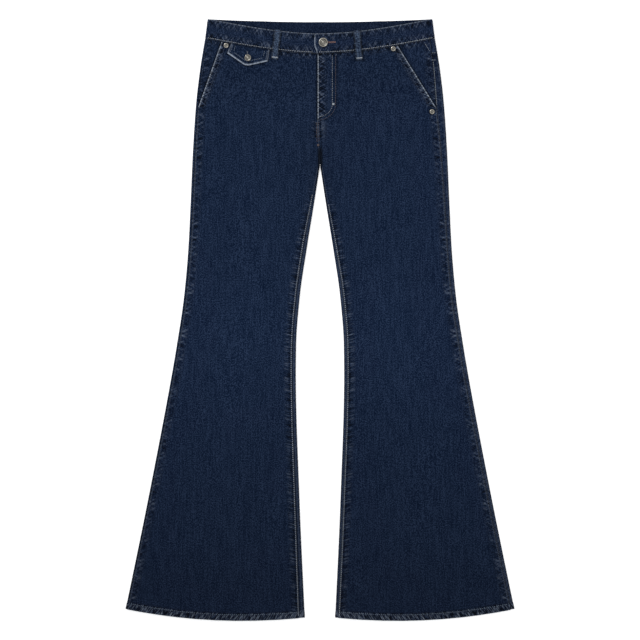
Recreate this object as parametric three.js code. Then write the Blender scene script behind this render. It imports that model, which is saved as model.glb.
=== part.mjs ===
// Flared jeans, closed at the waist and laid flat on their back: a low waistband that dips in front,
// slant hip pockets, a small buttoned ticket flap, a lapped fly and legs that flare from the knee.
// Millimetres. X runs across the body with the wearer's left at +X, Y runs up to the waist and Z up
// from the floor. The origin is on the floor under the middle of the garment.
// "down" is a distance towards the hems, measured from the top of the waistband at the hips.
import * as THREE from "three";

// ---- Driving dimensions ----
const LENGTH = 1100.5; // top of the band at the hips to the lowest point of a hem
const DENIM = 1.0; // wall of a single layer of denim
const SEAM_GAP = 0.3; // between one sewn piece and the next
const BAND_SEAM_GAP = 0.7; // between the band's curved lower edge and the fronts

const BAND_HEIGHT = 35.5;
const BAND_WALL = 2.0; // two layers of denim and their turnings
const BAND_HALF_TOP = 205.5; // half width of the flat band at its top edge
const BAND_FLARE = 0.022; // how much wider the band is at its lower edge
const FRONT_DIP = 27; // how far the band sinks at the centre front
const BACK_DIP = 5.5; // and at the centre back
const LAP_END = -10.2; // x of the lapped band end, which carries the button
const UNDERLAP_END = 30; // x of the band end beneath it
const LAP_CORNER = 4; // rounding of the lapped end's upper corner

const CROTCH_DOWN = 266.3;
const FLY_EDGE = -4.4; // x of the fly's folded edge, just beside the centre line
const FLY_WIDTH = 34;
const FLY_END_DOWN = 185;
const CENTRE_SEAM_END = -1.5; // x of the centre front seam where it meets the crotch
const UNDERLAP = 10.4; // how far the right front runs on beneath the fly

const YOKE_SIDE_DOWN = 68; // the yoke's lower seam at the side
const YOKE_CENTRE_DOWN = 106; // and at the centre back

const HEM_DEPTH = 12.5;
const HEM_EXTRA = 0.6; // the turned-up hem is this much thicker, towards the inside
const HEM_RISE_OUTER = 22.5; // the hem climbs this far to the side seam
const HEM_RISE_INNER = 6; // and this far to the inseam
const HEM_LOWEST = 0.65; // where it is lowest, from the side seam to the inseam
const HEM_BEND_START = 820; // the legs' rows begin to follow the hem's curve here

const FACING_UNDER = 18; // how far a hip facing runs beneath the front
const FACING_FOOT = 173; // where it ends, just below the pocket mouth
const LOOP_WIDTH = 12.4;
const LOOP_LENGTH = 54;
const LOOP_WALL = 1.0;
const LOOP_PROUD = 1.5; // a front loop stands this far above the band's top edge
const BACK_LOOP_DROP = 0.8; // and a back loop starts this far below it
const FLAP_WALL = 1.4;

const FRONT_LEVEL = 3.0; // underside of the front layer over the legs
const FRONT_RISE = 1.1; // the front layer climbs this much to meet the band
const FRONT_BAND_LEVEL = 3.6; // underside of the band's front half
const UNDER_LIFT = LOOP_WALL + SEAM_GAP; // a layer lifts this much over a piece beneath it

// A table is read as rows with named columns.
function table(columns, rows) {
  return rows.map((row) => Object.fromEntries(columns.map((name, i) => [name, row[i]])));
}

// Half width of the legs' outer outline, and the strip of back panel that comes round the outer fold
// to the side seam, on the wearer's right and left.
const OUTER = table(
  ["down", "half", "right", "left"],
  [
    [35, 210.0, 4.0, 9.5],
    [90, 219.0, 4.0, 12.0],
    [155, 226.6, 4.2, 14.5],
    [243, 232.5, 5.0, 11.5],
    [331, 236.4, 4.8, 9.2],
    [419, 240.8, 4.5, 8.0],
    [507, 248.6, 4.0, 8.0],
    [595, 261.6, 3.8, 7.7],
    [661, 272.9, 3.7, 7.6],
    [880, 314.7, 3.2, 7.2],
    [1101, 360.0, 3.0, 7.0],
  ],
);

// Half of the gap between the legs, and the strip of back panel that comes round to the inseam.
const INNER = table(
  ["down", "half", "right", "left"],
  [
    [CROTCH_DOWN, 0, 1.6, 1.6],
    [331, 9.9, 4.2, 2.4],
    [419, 24.1, 7.1, 4.7],
    [507, 36.9, 7.0, 5.7],
    [595, 43.6, 7.0, 5.7],
    [650, 44.2, 6.9, 5.5],
    [880, 37.5, 7.5, 5.3],
    [1101, 27.6, 9.8, 5.5],
  ],
);

// The slant mouth of each hip pocket runs from the band to the side seam.
const POCKET_MOUTH = {
  right: { top: { x: 180, down: 42 }, foot: { x: 222.4, down: 161 } },
  left: { top: { x: 141.3, down: 47.9 }, foot: { x: 212.2, down: 162 } },
};

// The ticket flap hangs from the band between two places and ends in these corners.
const TICKET_FLAP_TOP = { from: -162, to: -92.2 };
const TICKET_FLAP = table(
  ["x", "down"],
  [
    [-169.8, 62.6],
    [-153.5, 73.8],
    [-137.5, 84.6],
    [-130.0, 85.2],
    [-112.5, 81.4],
    [-95.3, 77.4],
  ],
);

const FRONT_LOOPS = table(
  ["name", "topX", "footX"],
  [
    ["loop_front_right", -77.0, -83.0],
    ["loop_front_left", 67.2, 72.2],
  ],
);
const BACK_LOOPS = table(
  ["name", "x"],
  [
    ["loop_back_right", -104],
    ["loop_back_centre", 0],
    ["loop_back_left", 104],
  ],
);

// A patch pocket on each back leg: its upper corners, how much narrower each side is at the foot,
// and how far down its lower corners and its point lie.
const BACK_POCKET = {
  inner: { x: 44, down: 128 },
  outer: { x: 162, down: 118 },
  taper: 7,
  cornerDown: 262,
  point: { x: 106, down: 286 },
};
const POCKET_ROWS = { top: 120, foot: 292 }; // rows of the back panel between which it lies over it

const WAIST_BUTTON = { x: 5.9, down: 43.4, radius: 8.5, height: 3.0 };
const FLAP_BUTTON = { x: -131.8, down: 71.4, radius: 6.0, height: 2.4 };
const RIVETS = table(
  ["name", "x", "down"],
  [
    ["rivet_right_upper", -171.6, 48.6],
    ["rivet_left_upper", 134.0, 54.6],
    ["rivet_left_lower", 205.0, 169.5],
  ],
);
const RIVET = { radius: 4.4, height: 1.5 };

// ---- Finishes ----
const denim = new THREE.MeshStandardMaterial({ color: 0x1c2a44, roughness: 0.92, metalness: 0 });
const wornDenim = new THREE.MeshStandardMaterial({ color: 0x2a3a52, roughness: 0.92, metalness: 0 });
const zipTape = new THREE.MeshStandardMaterial({ color: 0x1a2030, roughness: 0.85, metalness: 0 });
const nickel = new THREE.MeshStandardMaterial({ color: 0xa8a8a4, roughness: 0.42, metalness: 1 });

// ---- Small helpers ----
const mix = (a, b, t) => a + (b - a) * t;
const smooth = (from, to, value) => THREE.MathUtils.smoothstep(value, from, to);
const toY = (down) => LENGTH / 2 - down;

// Smooth reading of one column of a table, without overshoot between its rows.
function read(rows, column, down) {
  const last = rows.length - 2;
  let i = rows.findIndex((row) => row.down > down) - 1;
  if (i < 0) i = down < rows[0].down ? 0 : last;
  const slope = (k) => {
    const a = rows[k];
    const b = rows[k + 1];
    return (b[column] - a[column]) / (b.down - a.down);
  };
  const tangent = (k) => {
    if (k === 0) return slope(0);
    if (k > last) return slope(last);
    const before = slope(k - 1);
    const after = slope(k);
    return before * after <= 0 ? 0 : (2 * before * after) / (before + after);
  };
  const step = rows[i + 1].down - rows[i].down;
  const t = THREE.MathUtils.clamp((down - rows[i].down) / step, 0, 1);
  const u = 1 - t;
  return (
    rows[i][column] * u * u * (1 + 2 * t) +
    rows[i + 1][column] * t * t * (1 + 2 * u) +
    step * (tangent(i) * t * u * u - tangent(i + 1) * t * t * u)
  );
}

// One closed cloth wall from two faces of the same grid: face(i, j) and back(i, j) give [x, y, z].
function clothWall(rowCount, columnCount, face, back) {
  const points = [];
  for (const side of [face, back]) {
    for (let i = 0; i < rowCount; i++) {
      for (let j = 0; j < columnCount; j++) points.push(side(i, j));
    }
  }
  const at = (side, i, j) => side * rowCount * columnCount + i * columnCount + j;
  const triangles = [];
  const quad = (a, b, c, d) => triangles.push([a, b, c], [a, c, d]);
  for (let i = 0; i + 1 < rowCount; i++) {
    for (let j = 0; j + 1 < columnCount; j++) {
      quad(at(0, i, j), at(0, i, j + 1), at(0, i + 1, j + 1), at(0, i + 1, j));
      quad(at(1, i, j), at(1, i + 1, j), at(1, i + 1, j + 1), at(1, i, j + 1));
    }
    const j = columnCount - 1;
    quad(at(0, i, 0), at(0, i + 1, 0), at(1, i + 1, 0), at(1, i, 0));
    quad(at(0, i, j), at(1, i, j), at(1, i + 1, j), at(0, i + 1, j));
  }
  for (let j = 0; j + 1 < columnCount; j++) {
    const i = rowCount - 1;
    quad(at(0, 0, j), at(1, 0, j), at(1, 0, j + 1), at(0, 0, j + 1));
    quad(at(0, i, j), at(0, i, j + 1), at(1, i, j + 1), at(1, i, j));
  }
  return outwardGeometry(points, triangles);
}

function outwardGeometry(points, triangles) {
  const corners = points.map((p) => new THREE.Vector3(...p));
  const volume = triangles.reduce(
    (sum, [a, b, c]) => sum + corners[a].dot(corners[b].clone().cross(corners[c])),
    0,
  );
  const index = triangles.flatMap(([a, b, c]) => (volume > 0 ? [a, b, c] : [a, c, b]));
  const geometry = new THREE.BufferGeometry();
  geometry.setAttribute("position", new THREE.Float32BufferAttribute(points.flat(), 3));
  geometry.setIndex(index);
  geometry.computeVertexNormals();
  return geometry;
}

const jeans = new THREE.Group();
function add(name, geometry, material) {
  const mesh = new THREE.Mesh(geometry, material);
  mesh.name = name;
  jeans.add(mesh);
}

// ---- Lines of the pattern ----
const sign = (side) => (side === "left" ? 1 : -1);
const outerHalf = (down) => read(OUTER, "half", down);
const innerHalf = (down) => (down < CROTCH_DOWN ? 0 : read(INNER, "half", down));
const sideStrip = (side, down) => read(OUTER, side, down);
const inseamStrip = (side, down) => read(INNER, side, down);

function frontBandTop(x) {
  const share = Math.min(1, Math.abs(x) / BAND_HALF_TOP);
  return FRONT_DIP * (1 - share ** 1.7) ** 1.1;
}

function backBandTop(x) {
  const share = Math.min(1, Math.abs(x) / BAND_HALF_TOP);
  return BACK_DIP * (1 - share * share);
}

const frontBandFoot = (x) => frontBandTop(x / (1 + BAND_FLARE)) + BAND_HEIGHT;
const backBandFoot = (x) => backBandTop(x / (1 + BAND_FLARE)) + BAND_HEIGHT;

// How far the hem stands above its lowest point, at a place across the leg.
function hemRise(x, down) {
  const outer = outerHalf(down);
  const across = THREE.MathUtils.clamp((outer - Math.abs(x)) / (outer - innerHalf(down)), 0, 1);
  if (across < HEM_LOWEST) return HEM_RISE_OUTER * (1 - across / HEM_LOWEST) ** 2;
  return HEM_RISE_INNER * ((across - HEM_LOWEST) / (1 - HEM_LOWEST)) ** 2;
}

// Rows of the legs bend from straight above the knee to the hem's own curve.
function bendToHem(x, down) {
  return down - hemRise(x, down) * smooth(HEM_BEND_START, LENGTH - HEM_DEPTH, down);
}

// The front's rows start along the band's lower edge and straighten out beside the fly.
function bendToBand(x, down) {
  const centreFoot = frontBandFoot(0);
  return down - (centreFoot - frontBandFoot(x)) * (1 - smooth(centreFoot, 165, down));
}

// The back's rows start along the yoke's lower seam and straighten out at the seat.
const yokeLine = (across) => mix(YOKE_CENTRE_DOWN, YOKE_SIDE_DOWN, across);
function bendToYoke(across, down) {
  return down - (YOKE_CENTRE_DOWN - yokeLine(across)) * (1 - smooth(YOKE_CENTRE_DOWN, 200, down));
}

function centreFront(down) {
  return mix(FLY_EDGE, CENTRE_SEAM_END, smooth(FLY_END_DOWN, CROTCH_DOWN, down));
}

function pocketMouth(side, down) {
  const { top, foot } = POCKET_MOUTH[side];
  return mix(top.x, foot.x, (down - top.down) / (foot.down - top.down));
}
const sideSeam = (side, down) => outerHalf(down) - sideStrip(side, down);

// Outer edge of a front: the pocket mouth, and the side seam below it.
function frontOuterEdge(side, down) {
  const seam = sideSeam(side, down) - SEAM_GAP;
  return down < POCKET_MOUTH[side].foot.down ? Math.min(seam, pocketMouth(side, down)) : seam;
}

// Inner edge of a front: the fly or the centre seam, and the inseam below the crotch.
function frontInnerEdge(side, down) {
  if (down > CROTCH_DOWN) return innerHalf(down) + inseamStrip(side, down) + SEAM_GAP;
  if (side === "left") return centreFront(down) + SEAM_GAP / 2;
  return SEAM_GAP / 2 - centreFront(down) - UNDERLAP * (1 - smooth(165, 180, down));
}

// ---- Levels ----
const frontFloor = (down) => FRONT_LEVEL + FRONT_RISE * (1 - smooth(90, 200, down));

// The left front climbs over the zip and the right front's edge.
function flyLift(x, down) {
  const far = FLY_EDGE + FLY_WIDTH;
  const across = x < FLY_EDGE ? 0 : 1 - smooth(far, far + 12, x);
  return UNDER_LIFT * across * (1 - smooth(FLY_END_DOWN, FLY_END_DOWN + 30, down));
}
const frontTop = (x, down) => frontFloor(down) + DENIM + flyLift(x, down);

// ---- Front panels ----
const FRONT_ROWS = [
  frontBandFoot(0) + BAND_SEAM_GAP, 78, 96, 116, 138, 156, 165, 180, 185, 200, 215, 240, 262, 270, 282,
  305, 335, 380, 430, 480, 530, 580, 630, 690, 760, 840, 920, 1000, 1050, 1086, LENGTH - HEM_DEPTH, LENGTH,
];
const NEAR_CENTRE = [0, FLY_WIDTH, FLY_WIDTH + 12]; // columns beside the fly
const ACROSS_FRONT = [0.34, 0.68, 1]; // and the rest, as shares of the width that is left

// Where a bent row meets an edge that itself runs down the leg.
function settle(edge, bend, down) {
  let x = edge(down);
  for (let pass = 0; pass < 20; pass++) x = edge(bend(x, down));
  return x;
}

function frontRow(side, down) {
  const bend = down < CROTCH_DOWN ? bendToBand : bendToHem;
  const inner = settle((place) => frontInnerEdge(side, place), bend, down);
  const outer = settle((place) => frontOuterEdge(side, place), bend, down);
  const near = NEAR_CENTRE.map((offset) => inner + offset);
  const rest = ACROSS_FRONT.map((share) => mix(near[2], outer, share));
  return [...near, ...rest].map((x) => ({ x, down: bend(x, down) }));
}

function frontPanel(side) {
  const rows = FRONT_ROWS.map((down) => frontRow(side, down));
  const hemStart = FRONT_ROWS.indexOf(LENGTH - HEM_DEPTH);
  const at = (i, j, height) => {
    const p = rows[i][j];
    const lift = side === "left" ? flyLift(p.x, p.down) : 0;
    return [sign(side) * p.x, toY(p.down), frontFloor(p.down) + lift + height];
  };
  const upper = (i, j) => at(i, j, DENIM);
  const lower = (i, j) => at(i, j, i >= hemStart ? -HEM_EXTRA : 0);
  return clothWall(rows.length, rows[0].length, upper, lower);
}

// ---- Back layer: leg panels and yokes ----
const FOLD_STEPS = 6;
const ACROSS_BACK = [0.085, 0.165, 0.45, 0.72, 0.8]; // columns of the flat part, from the inner edge
const OVER_POCKET = [0, 1, 1, 1, 0]; // and which of them lie on a back pocket

// The rolled edge of the garment, from a seam on the front side to the floor side. "out" is 1 at
// the outer fold and -1 at the inner one, and (nx, nz) points from the face into the hollow.
function fold(edgeX, out, strip, low, high) {
  const radius = (high - low) / 2;
  const points = [];
  const wide = strip > radius + 0.2;
  if (wide) points.push({ x: edgeX - out * strip, z: high, nx: 0, nz: -1 });
  const steps = wide ? FOLD_STEPS - 1 : FOLD_STEPS;
  const start = wide ? Math.PI / 2 : Math.acos(1 - strip / radius);
  for (let k = 0; k <= steps; k++) {
    const angle = mix(start, -Math.PI / 2, k / steps);
    const nx = -out * Math.cos(angle);
    const nz = -Math.sin(angle);
    points.push({ x: edgeX - out * radius - nx * radius, z: (low + high) / 2 - nz * radius, nx, nz });
  }
  return points;
}

// Above the crotch the same columns lie flat beside the centre back seam.
function flatEnd(low) {
  const width = 5;
  const places = Array.from({ length: FOLD_STEPS + 1 }, (_, k) => (width * k) / FOLD_STEPS);
  return places.map((place) => ({ x: SEAM_GAP / 2 + place, z: low, nx: 0, nz: 1 }));
}

// One row of the back layer: the outer fold, the flat part, then the inner fold or the centre seam.
function backRow(side, outerDown, innerDown, low, pocketLift) {
  const outer = fold(
    outerHalf(outerDown), 1, sideStrip(side, outerDown), low, frontFloor(outerDown) + DENIM,
  );
  const inner =
    innerDown > CROTCH_DOWN
      ? fold(innerHalf(innerDown), -1, inseamStrip(side, innerDown), low, frontFloor(innerDown) + DENIM)
      : flatEnd(low);
  inner.reverse();
  const near = inner[0].x;
  const far = outer[outer.length - 1].x;
  const flat = ACROSS_BACK.map((share, k) => {
    return { x: mix(near, far, share), z: low + pocketLift * OVER_POCKET[k], nx: 0, nz: 1 };
  });
  return [...outer, ...flat.reverse(), ...inner];
}

// How far across the back a point of a row lies: 0 at the middle, 1 on the fold and past it.
function acrossBack(row, j) {
  const far = row[FOLD_STEPS].x;
  return j <= FOLD_STEPS ? 1 : row[j].x / far;
}

function backWall(side, rows, downAt, wallAt) {
  const face = (i, j) => [sign(side) * rows[i][j].x, toY(downAt(i, j)), rows[i][j].z];
  const back = (i, j) => {
    const p = rows[i][j];
    const wall = wallAt(i);
    return [sign(side) * (p.x + p.nx * wall), toY(downAt(i, j)), p.z + p.nz * wall];
  };
  return clothWall(rows.length, rows[0].length, face, back);
}

const BACK_ROWS = [
  YOKE_CENTRE_DOWN + SEAM_GAP / 2, POCKET_ROWS.top, 146, 172, 200, 232, 262, 275, POCKET_ROWS.foot, 308,
  335, 380, 430, 480, 530, 580, 630, 690, 760, 840, 920, 1000, 1050, 1086, LENGTH - HEM_DEPTH, LENGTH,
];

// Where a row of the back meets the outer and the inner fold.
function foldDowns(down) {
  if (down < CROTCH_DOWN) return { outerDown: bendToYoke(1, down), innerDown: down };
  const outerX = settle(outerHalf, bendToHem, down);
  const innerX = settle(innerHalf, bendToHem, down);
  return { outerDown: bendToHem(outerX, down), innerDown: bendToHem(innerX, down) };
}

function backPanel(side) {
  const rows = BACK_ROWS.map((down) => {
    const { outerDown, innerDown } = foldDowns(down);
    const overPocket = down >= POCKET_ROWS.top && down <= POCKET_ROWS.foot;
    return backRow(side, outerDown, innerDown, 0, overPocket ? UNDER_LIFT : 0);
  });
  const downAt = (i, j) => {
    const down = BACK_ROWS[i];
    if (down < CROTCH_DOWN) return bendToYoke(acrossBack(rows[i], j), down);
    const { outerDown, innerDown } = foldDowns(down);
    if (j <= FOLD_STEPS) return outerDown;
    return j >= rows[i].length - FOLD_STEPS - 1 ? innerDown : bendToHem(rows[i][j].x, down);
  };
  const wallAt = (i) => DENIM + (BACK_ROWS[i] >= LENGTH - HEM_DEPTH ? HEM_EXTRA : 0);
  return backWall(side, rows, downAt, wallAt);
}

// The yoke hangs from inside the band, so its upper part stands clear of the floor over the loops.
const YOKE_ROWS = table(
  ["share", "lift"],
  [
    [0, UNDER_LIFT],
    [0.4, UNDER_LIFT],
    [1, 0],
  ],
);

function yoke(side) {
  const foot = (across) => yokeLine(across) - SEAM_GAP / 2;
  const rows = YOKE_ROWS.map(({ share, lift }) => {
    return backRow(side, mix(BAND_HEIGHT, foot(1), share), 0, lift, 0);
  });
  const downAt = (i, j) => {
    const p = rows[i][j];
    const bandFoot = p.nz < 0 ? frontBandFoot(p.x) : backBandFoot(p.x);
    return mix(bandFoot + SEAM_GAP, foot(acrossBack(rows[i], j)), YOKE_ROWS[i].share);
  };
  return backWall(side, rows, downAt, () => DENIM);
}

// ---- Hip facings ----
const FACING_ROWS = [0, 0.16, 0.34, 0.52, 0.7, 0.86, 1];

// A facing lies under the pocket's edge and rises to the side seam beyond it.
function facingLevel(side, x, down) {
  const outside = x - pocketMouth(side, down);
  return frontFloor(down) - UNDER_LIFT * (1 - smooth(2, 16, outside));
}

function facingRow(side, share) {
  const bend = (x) => mix(frontBandFoot(x) + SEAM_GAP, FACING_FOOT, share);
  const seam = settle((down) => sideSeam(side, down) - SEAM_GAP, bend, FACING_FOOT);
  const edge = settle((down) => pocketMouth(side, down) - 1, bend, FACING_FOOT);
  const mouth = Math.min(edge, seam - 3);
  const middle = Math.min(mouth + 18, mix(mouth, seam, 0.5));
  const columns = [mouth + 1 - FACING_UNDER, mouth, middle, mix(middle, seam, 0.5), seam];
  return columns.map((x) => ({ x, down: bend(x) }));
}

function hipFacing(side) {
  const rows = FACING_ROWS.map((share) => facingRow(side, share));
  const at = (i, j, height) => {
    const p = rows[i][j];
    return [sign(side) * p.x, toY(p.down), facingLevel(side, p.x, p.down) + height];
  };
  return clothWall(rows.length, rows[0].length, (i, j) => at(i, j, DENIM), (i, j) => at(i, j, 0));
}

// ---- Behind the fly ----
// A straight strip between two x positions, following the front's level at a chosen depth below it.
function strip(fromX, toX, lastDown, below) {
  const steps = 6;
  const at = (i, j, height) => {
    const x = j === 0 ? fromX : toX;
    const down = mix(frontBandFoot(0) + SEAM_GAP, lastDown, i / steps);
    return [x, toY(down), frontFloor(down) - below + height];
  };
  return clothWall(steps + 1, 2, (i, j) => at(i, j, DENIM), (i, j) => at(i, j, 0));
}

function flyShield() {
  return strip(FLY_EDGE - 8, FLY_EDGE + FLY_WIDTH, FLY_END_DOWN - 3, UNDER_LIFT);
}

function flyZip() {
  const rightFrontEdge = FLY_EDGE + UNDERLAP - SEAM_GAP / 2;
  return strip(rightFrontEdge + SEAM_GAP, FLY_EDGE + FLY_WIDTH - 6, 164, 0);
}

// ---- Waistband ----
const LAP_LEVEL = FRONT_BAND_LEVEL + BAND_WALL + SEAM_GAP; // underside of the lapped end

// The lapped end: how far its upper corner is rounded away at each place along it.
const LAP_COLUMNS = table(
  ["x", "cut"],
  [
    [LAP_END, LAP_CORNER],
    [LAP_END + 1.2, 1.2],
    [LAP_END + LAP_CORNER, 0],
    [10, 0],
    [UNDERLAP_END + 4, 0],
  ],
);
const BAND_SIDE_COLUMNS = [75, 105, 135, 160, 182, 196]; // along half of the band

// The band's outer face as one path: over the front, round the left fold, along the back on the
// floor, round the right fold and over the front again to end beneath the lap.
function bandPath() {
  const topLevel = (x, level) => ({ x, z: level + BAND_WALL, nx: 0, nz: -1, front: true, cut: 0 });
  const radius = (FRONT_BAND_LEVEL + BAND_WALL) / 2;
  const arc = (out) => {
    return Array.from({ length: FOLD_STEPS + 1 }, (_, k) => {
      const angle = Math.PI / 2 - (Math.PI * k) / FOLD_STEPS;
      const nx = -out * Math.cos(angle);
      const nz = -Math.sin(angle);
      const x = out * (BAND_HALF_TOP - radius) - nx * radius;
      return { x, z: radius - nz * radius, nx, nz, front: nz < 0, cut: 0 };
    });
  };
  const loopColumns = BACK_LOOPS.flatMap(({ x }) => [
    { x: x - 15, lift: 0 },
    { x: x - 7.5, lift: 1 },
    { x: x + 7.5, lift: 1 },
    { x: x + 15, lift: 0 },
  ]);
  const plainColumns = [-182, -145, -50, 50, 145, 182].map((x) => ({ x, lift: 0 }));
  const backColumns = [...loopColumns, ...plainColumns].sort((a, b) => b.x - a.x);
  return [
    ...LAP_COLUMNS.map(({ x, cut }) => ({ ...topLevel(x, LAP_LEVEL), cut })),
    topLevel(UNDERLAP_END + 17, FRONT_BAND_LEVEL),
    ...BAND_SIDE_COLUMNS.map((x) => topLevel(x, FRONT_BAND_LEVEL)),
    ...arc(1),
    ...backColumns.map(({ x, lift }) => ({ x, z: UNDER_LIFT * lift, nx: 0, nz: 1, front: false, cut: 0 })),
    ...arc(-1).reverse(),
    ...BAND_SIDE_COLUMNS.map((x) => topLevel(-x, FRONT_BAND_LEVEL)).reverse(),
    ...[-45, -15, 10, UNDERLAP_END].map((x) => topLevel(x, FRONT_BAND_LEVEL)),
  ];
}

function waistband() {
  const path = bandPath();
  const at = (i, j, depth) => {
    const p = path[j];
    const top = p.front ? frontBandTop(p.x) : backBandTop(p.x);
    const down = i === 0 ? top + p.cut : top + BAND_HEIGHT;
    const widen = i === 0 ? 1 : 1 + BAND_FLARE;
    return [(p.x + p.nx * depth) * widen, toY(down), p.z + p.nz * depth];
  };
  return clothWall(2, path.length, (i, j) => at(i, j, 0), (i, j) => at(i, j, BAND_WALL));
}

// ---- Belt loops ----
// A front loop lies on the band and steps down on to the front just below it.
function frontLoop({ topX, footX }) {
  const start = frontBandTop(topX) - LOOP_PROUD;
  const bandLevel = FRONT_BAND_LEVEL + BAND_WALL + SEAM_GAP;
  const stations = [0, 18, BAND_HEIGHT + 4, BAND_HEIGHT + 8, LOOP_LENGTH];
  const turn = Math.atan2(footX - topX, LOOP_LENGTH);
  const at = (i, j, height) => {
    const along = stations[i];
    const across = (j - 0.5) * LOOP_WIDTH;
    const x = topX + along * Math.sin(turn) + across * Math.cos(turn);
    const down = start + along * Math.cos(turn) - across * Math.sin(turn);
    const level = i < 3 ? bandLevel : frontTop(x, down) + SEAM_GAP;
    return [x, toY(down), level + height];
  };
  return clothWall(stations.length, 2, (i, j) => at(i, j, LOOP_WALL), (i, j) => at(i, j, 0));
}

// A back loop lies flat on the floor, beneath the band.
function backLoop({ x }) {
  const start = backBandTop(x) + BACK_LOOP_DROP;
  const foot = backBandTop(x) + LOOP_LENGTH - LOOP_PROUD;
  const half = LOOP_WIDTH / 2;
  const shape = new THREE.Shape();
  shape.moveTo(x - half, toY(start));
  shape.lineTo(x + half, toY(start));
  shape.lineTo(x + half, toY(foot));
  shape.lineTo(x - half, toY(foot));
  return new THREE.ExtrudeGeometry(shape, { depth: LOOP_WALL, bevelEnabled: false });
}

// ---- Back pockets ----
function backPocket(side) {
  const { inner, outer, taper, cornerDown, point } = BACK_POCKET;
  const corners = [
    [inner.x, inner.down],
    [outer.x, outer.down],
    [outer.x - taper, cornerDown - 4],
    [point.x, point.down],
    [inner.x + taper, cornerDown],
  ];
  const shape = new THREE.Shape(corners.map(([x, down]) => new THREE.Vector2(sign(side) * x, toY(down))));
  return new THREE.ExtrudeGeometry(shape, { depth: DENIM, bevelEnabled: false });
}

// ---- Ticket flap ----
function ticketFlap() {
  const topEdge = TICKET_FLAP.map((_, k) => {
    const x = mix(TICKET_FLAP_TOP.from, TICKET_FLAP_TOP.to, k / (TICKET_FLAP.length - 1));
    return { x, down: frontBandFoot(x) + SEAM_GAP };
  });
  const rowCount = 3;
  const at = (i, j, height) => {
    const share = i / (rowCount - 1);
    const x = mix(topEdge[j].x, TICKET_FLAP[j].x, share);
    const down = mix(topEdge[j].down, TICKET_FLAP[j].down, share);
    return [x, toY(down), frontTop(x, down) + SEAM_GAP + height];
  };
  return clothWall(rowCount, TICKET_FLAP.length, (i, j) => at(i, j, FLAP_WALL), (i, j) => at(i, j, 0));
}

// ---- Buttons and rivets ----
const ROUND_SIDES = 24;
function turned(profile, x, down, level) {
  const points = profile.map(([radius, height]) => new THREE.Vector2(radius, height));
  const geometry = new THREE.LatheGeometry(points, ROUND_SIDES);
  geometry.rotateX(Math.PI / 2);
  geometry.translate(x, toY(down), level);
  return geometry;
}

// A cast button: a rounded rim round a sunken middle.
function button({ x, down, radius, height }, level) {
  const rim = radius * 0.76;
  const profile = [
    [0, 0],
    [radius * 0.8, 0],
    [radius, height * 0.4],
    [radius * 0.96, height * 0.8],
    [radius * 0.86, height],
    [rim, height * 0.9],
    [rim * 0.9, height * 0.66],
    [0, height * 0.72],
  ];
  return turned(profile, x, down, level);
}

// A rivet: a low ring with a blunt nub in it.
function rivet({ x, down }) {
  const { radius, height } = RIVET;
  const profile = [
    [0, 0],
    [radius, 0],
    [radius * 0.9, height * 0.55],
    [radius * 0.55, height * 0.6],
    [radius * 0.42, height * 0.5],
    [radius * 0.24, height],
    [0, height],
  ];
  return turned(profile, x, down, frontTop(x, down) + SEAM_GAP);
}

// ---- The garment ----
for (const side of ["right", "left"]) {
  add(`${side}_front`, frontPanel(side), denim);
  add(`${side}_back`, backPanel(side), denim);
  add(`${side}_yoke`, yoke(side), denim);
  add(`${side}_hip_facing`, hipFacing(side), denim);
  add(`${side}_back_pocket`, backPocket(side), denim);
}
add("fly_shield", flyShield(), denim);
add("fly_zip", flyZip(), zipTape);
add("waistband", waistband(), denim);
for (const loop of FRONT_LOOPS) add(loop.name, frontLoop(loop), wornDenim);
for (const loop of BACK_LOOPS) add(loop.name, backLoop(loop), wornDenim);
add("ticket_flap", ticketFlap(), denim);

const bandButtonLevel = LAP_LEVEL + BAND_WALL + SEAM_GAP;
add("waist_button", button(WAIST_BUTTON, bandButtonLevel), nickel);
const flapTop = frontTop(FLAP_BUTTON.x, FLAP_BUTTON.down) + SEAM_GAP + FLAP_WALL;
add("flap_button", button(FLAP_BUTTON, flapTop + SEAM_GAP), nickel);
for (const each of RIVETS) add(each.name, rivet(each), nickel);

export default jeans;
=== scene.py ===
# %% [markdown]
# # Flared jeans, laid flat
# This lesson dresses a pair of flared jeans that lies on its back on a table. The plain solids of the
# garment come from a packed frame. Each one is replaced here by cloth of the same form with the things
# that make denim look like denim: puckered seams, rubbed edges, real stitches and cast metal buttons.
# The frame is in metres, and the jeans lie with the waist at +Y, the hems at -Y and the front on top.

# %% Load the frame
import math

import bpy
import numpy as np
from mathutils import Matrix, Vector


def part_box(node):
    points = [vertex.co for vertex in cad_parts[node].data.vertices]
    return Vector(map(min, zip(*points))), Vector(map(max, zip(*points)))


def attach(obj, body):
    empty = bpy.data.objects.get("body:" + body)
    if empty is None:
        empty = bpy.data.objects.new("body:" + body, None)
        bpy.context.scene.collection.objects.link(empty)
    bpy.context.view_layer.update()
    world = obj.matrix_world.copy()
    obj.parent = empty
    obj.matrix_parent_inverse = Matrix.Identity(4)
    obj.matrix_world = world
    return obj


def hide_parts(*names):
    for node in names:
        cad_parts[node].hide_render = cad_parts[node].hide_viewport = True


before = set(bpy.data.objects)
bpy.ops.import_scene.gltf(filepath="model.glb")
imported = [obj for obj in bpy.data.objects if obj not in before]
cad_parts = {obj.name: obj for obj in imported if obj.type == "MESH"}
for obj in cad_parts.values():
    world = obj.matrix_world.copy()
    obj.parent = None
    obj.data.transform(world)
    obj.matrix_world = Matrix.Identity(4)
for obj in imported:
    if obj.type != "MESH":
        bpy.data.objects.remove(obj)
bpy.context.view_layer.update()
MM = 0.001
WAIST_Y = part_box("waistband")[1].y / MM
HEM_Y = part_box("right_front")[0].y / MM
print("nodes:", len(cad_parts), "waist at", round(WAIST_Y, 1), "hems at", round(HEM_Y, 1))

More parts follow.
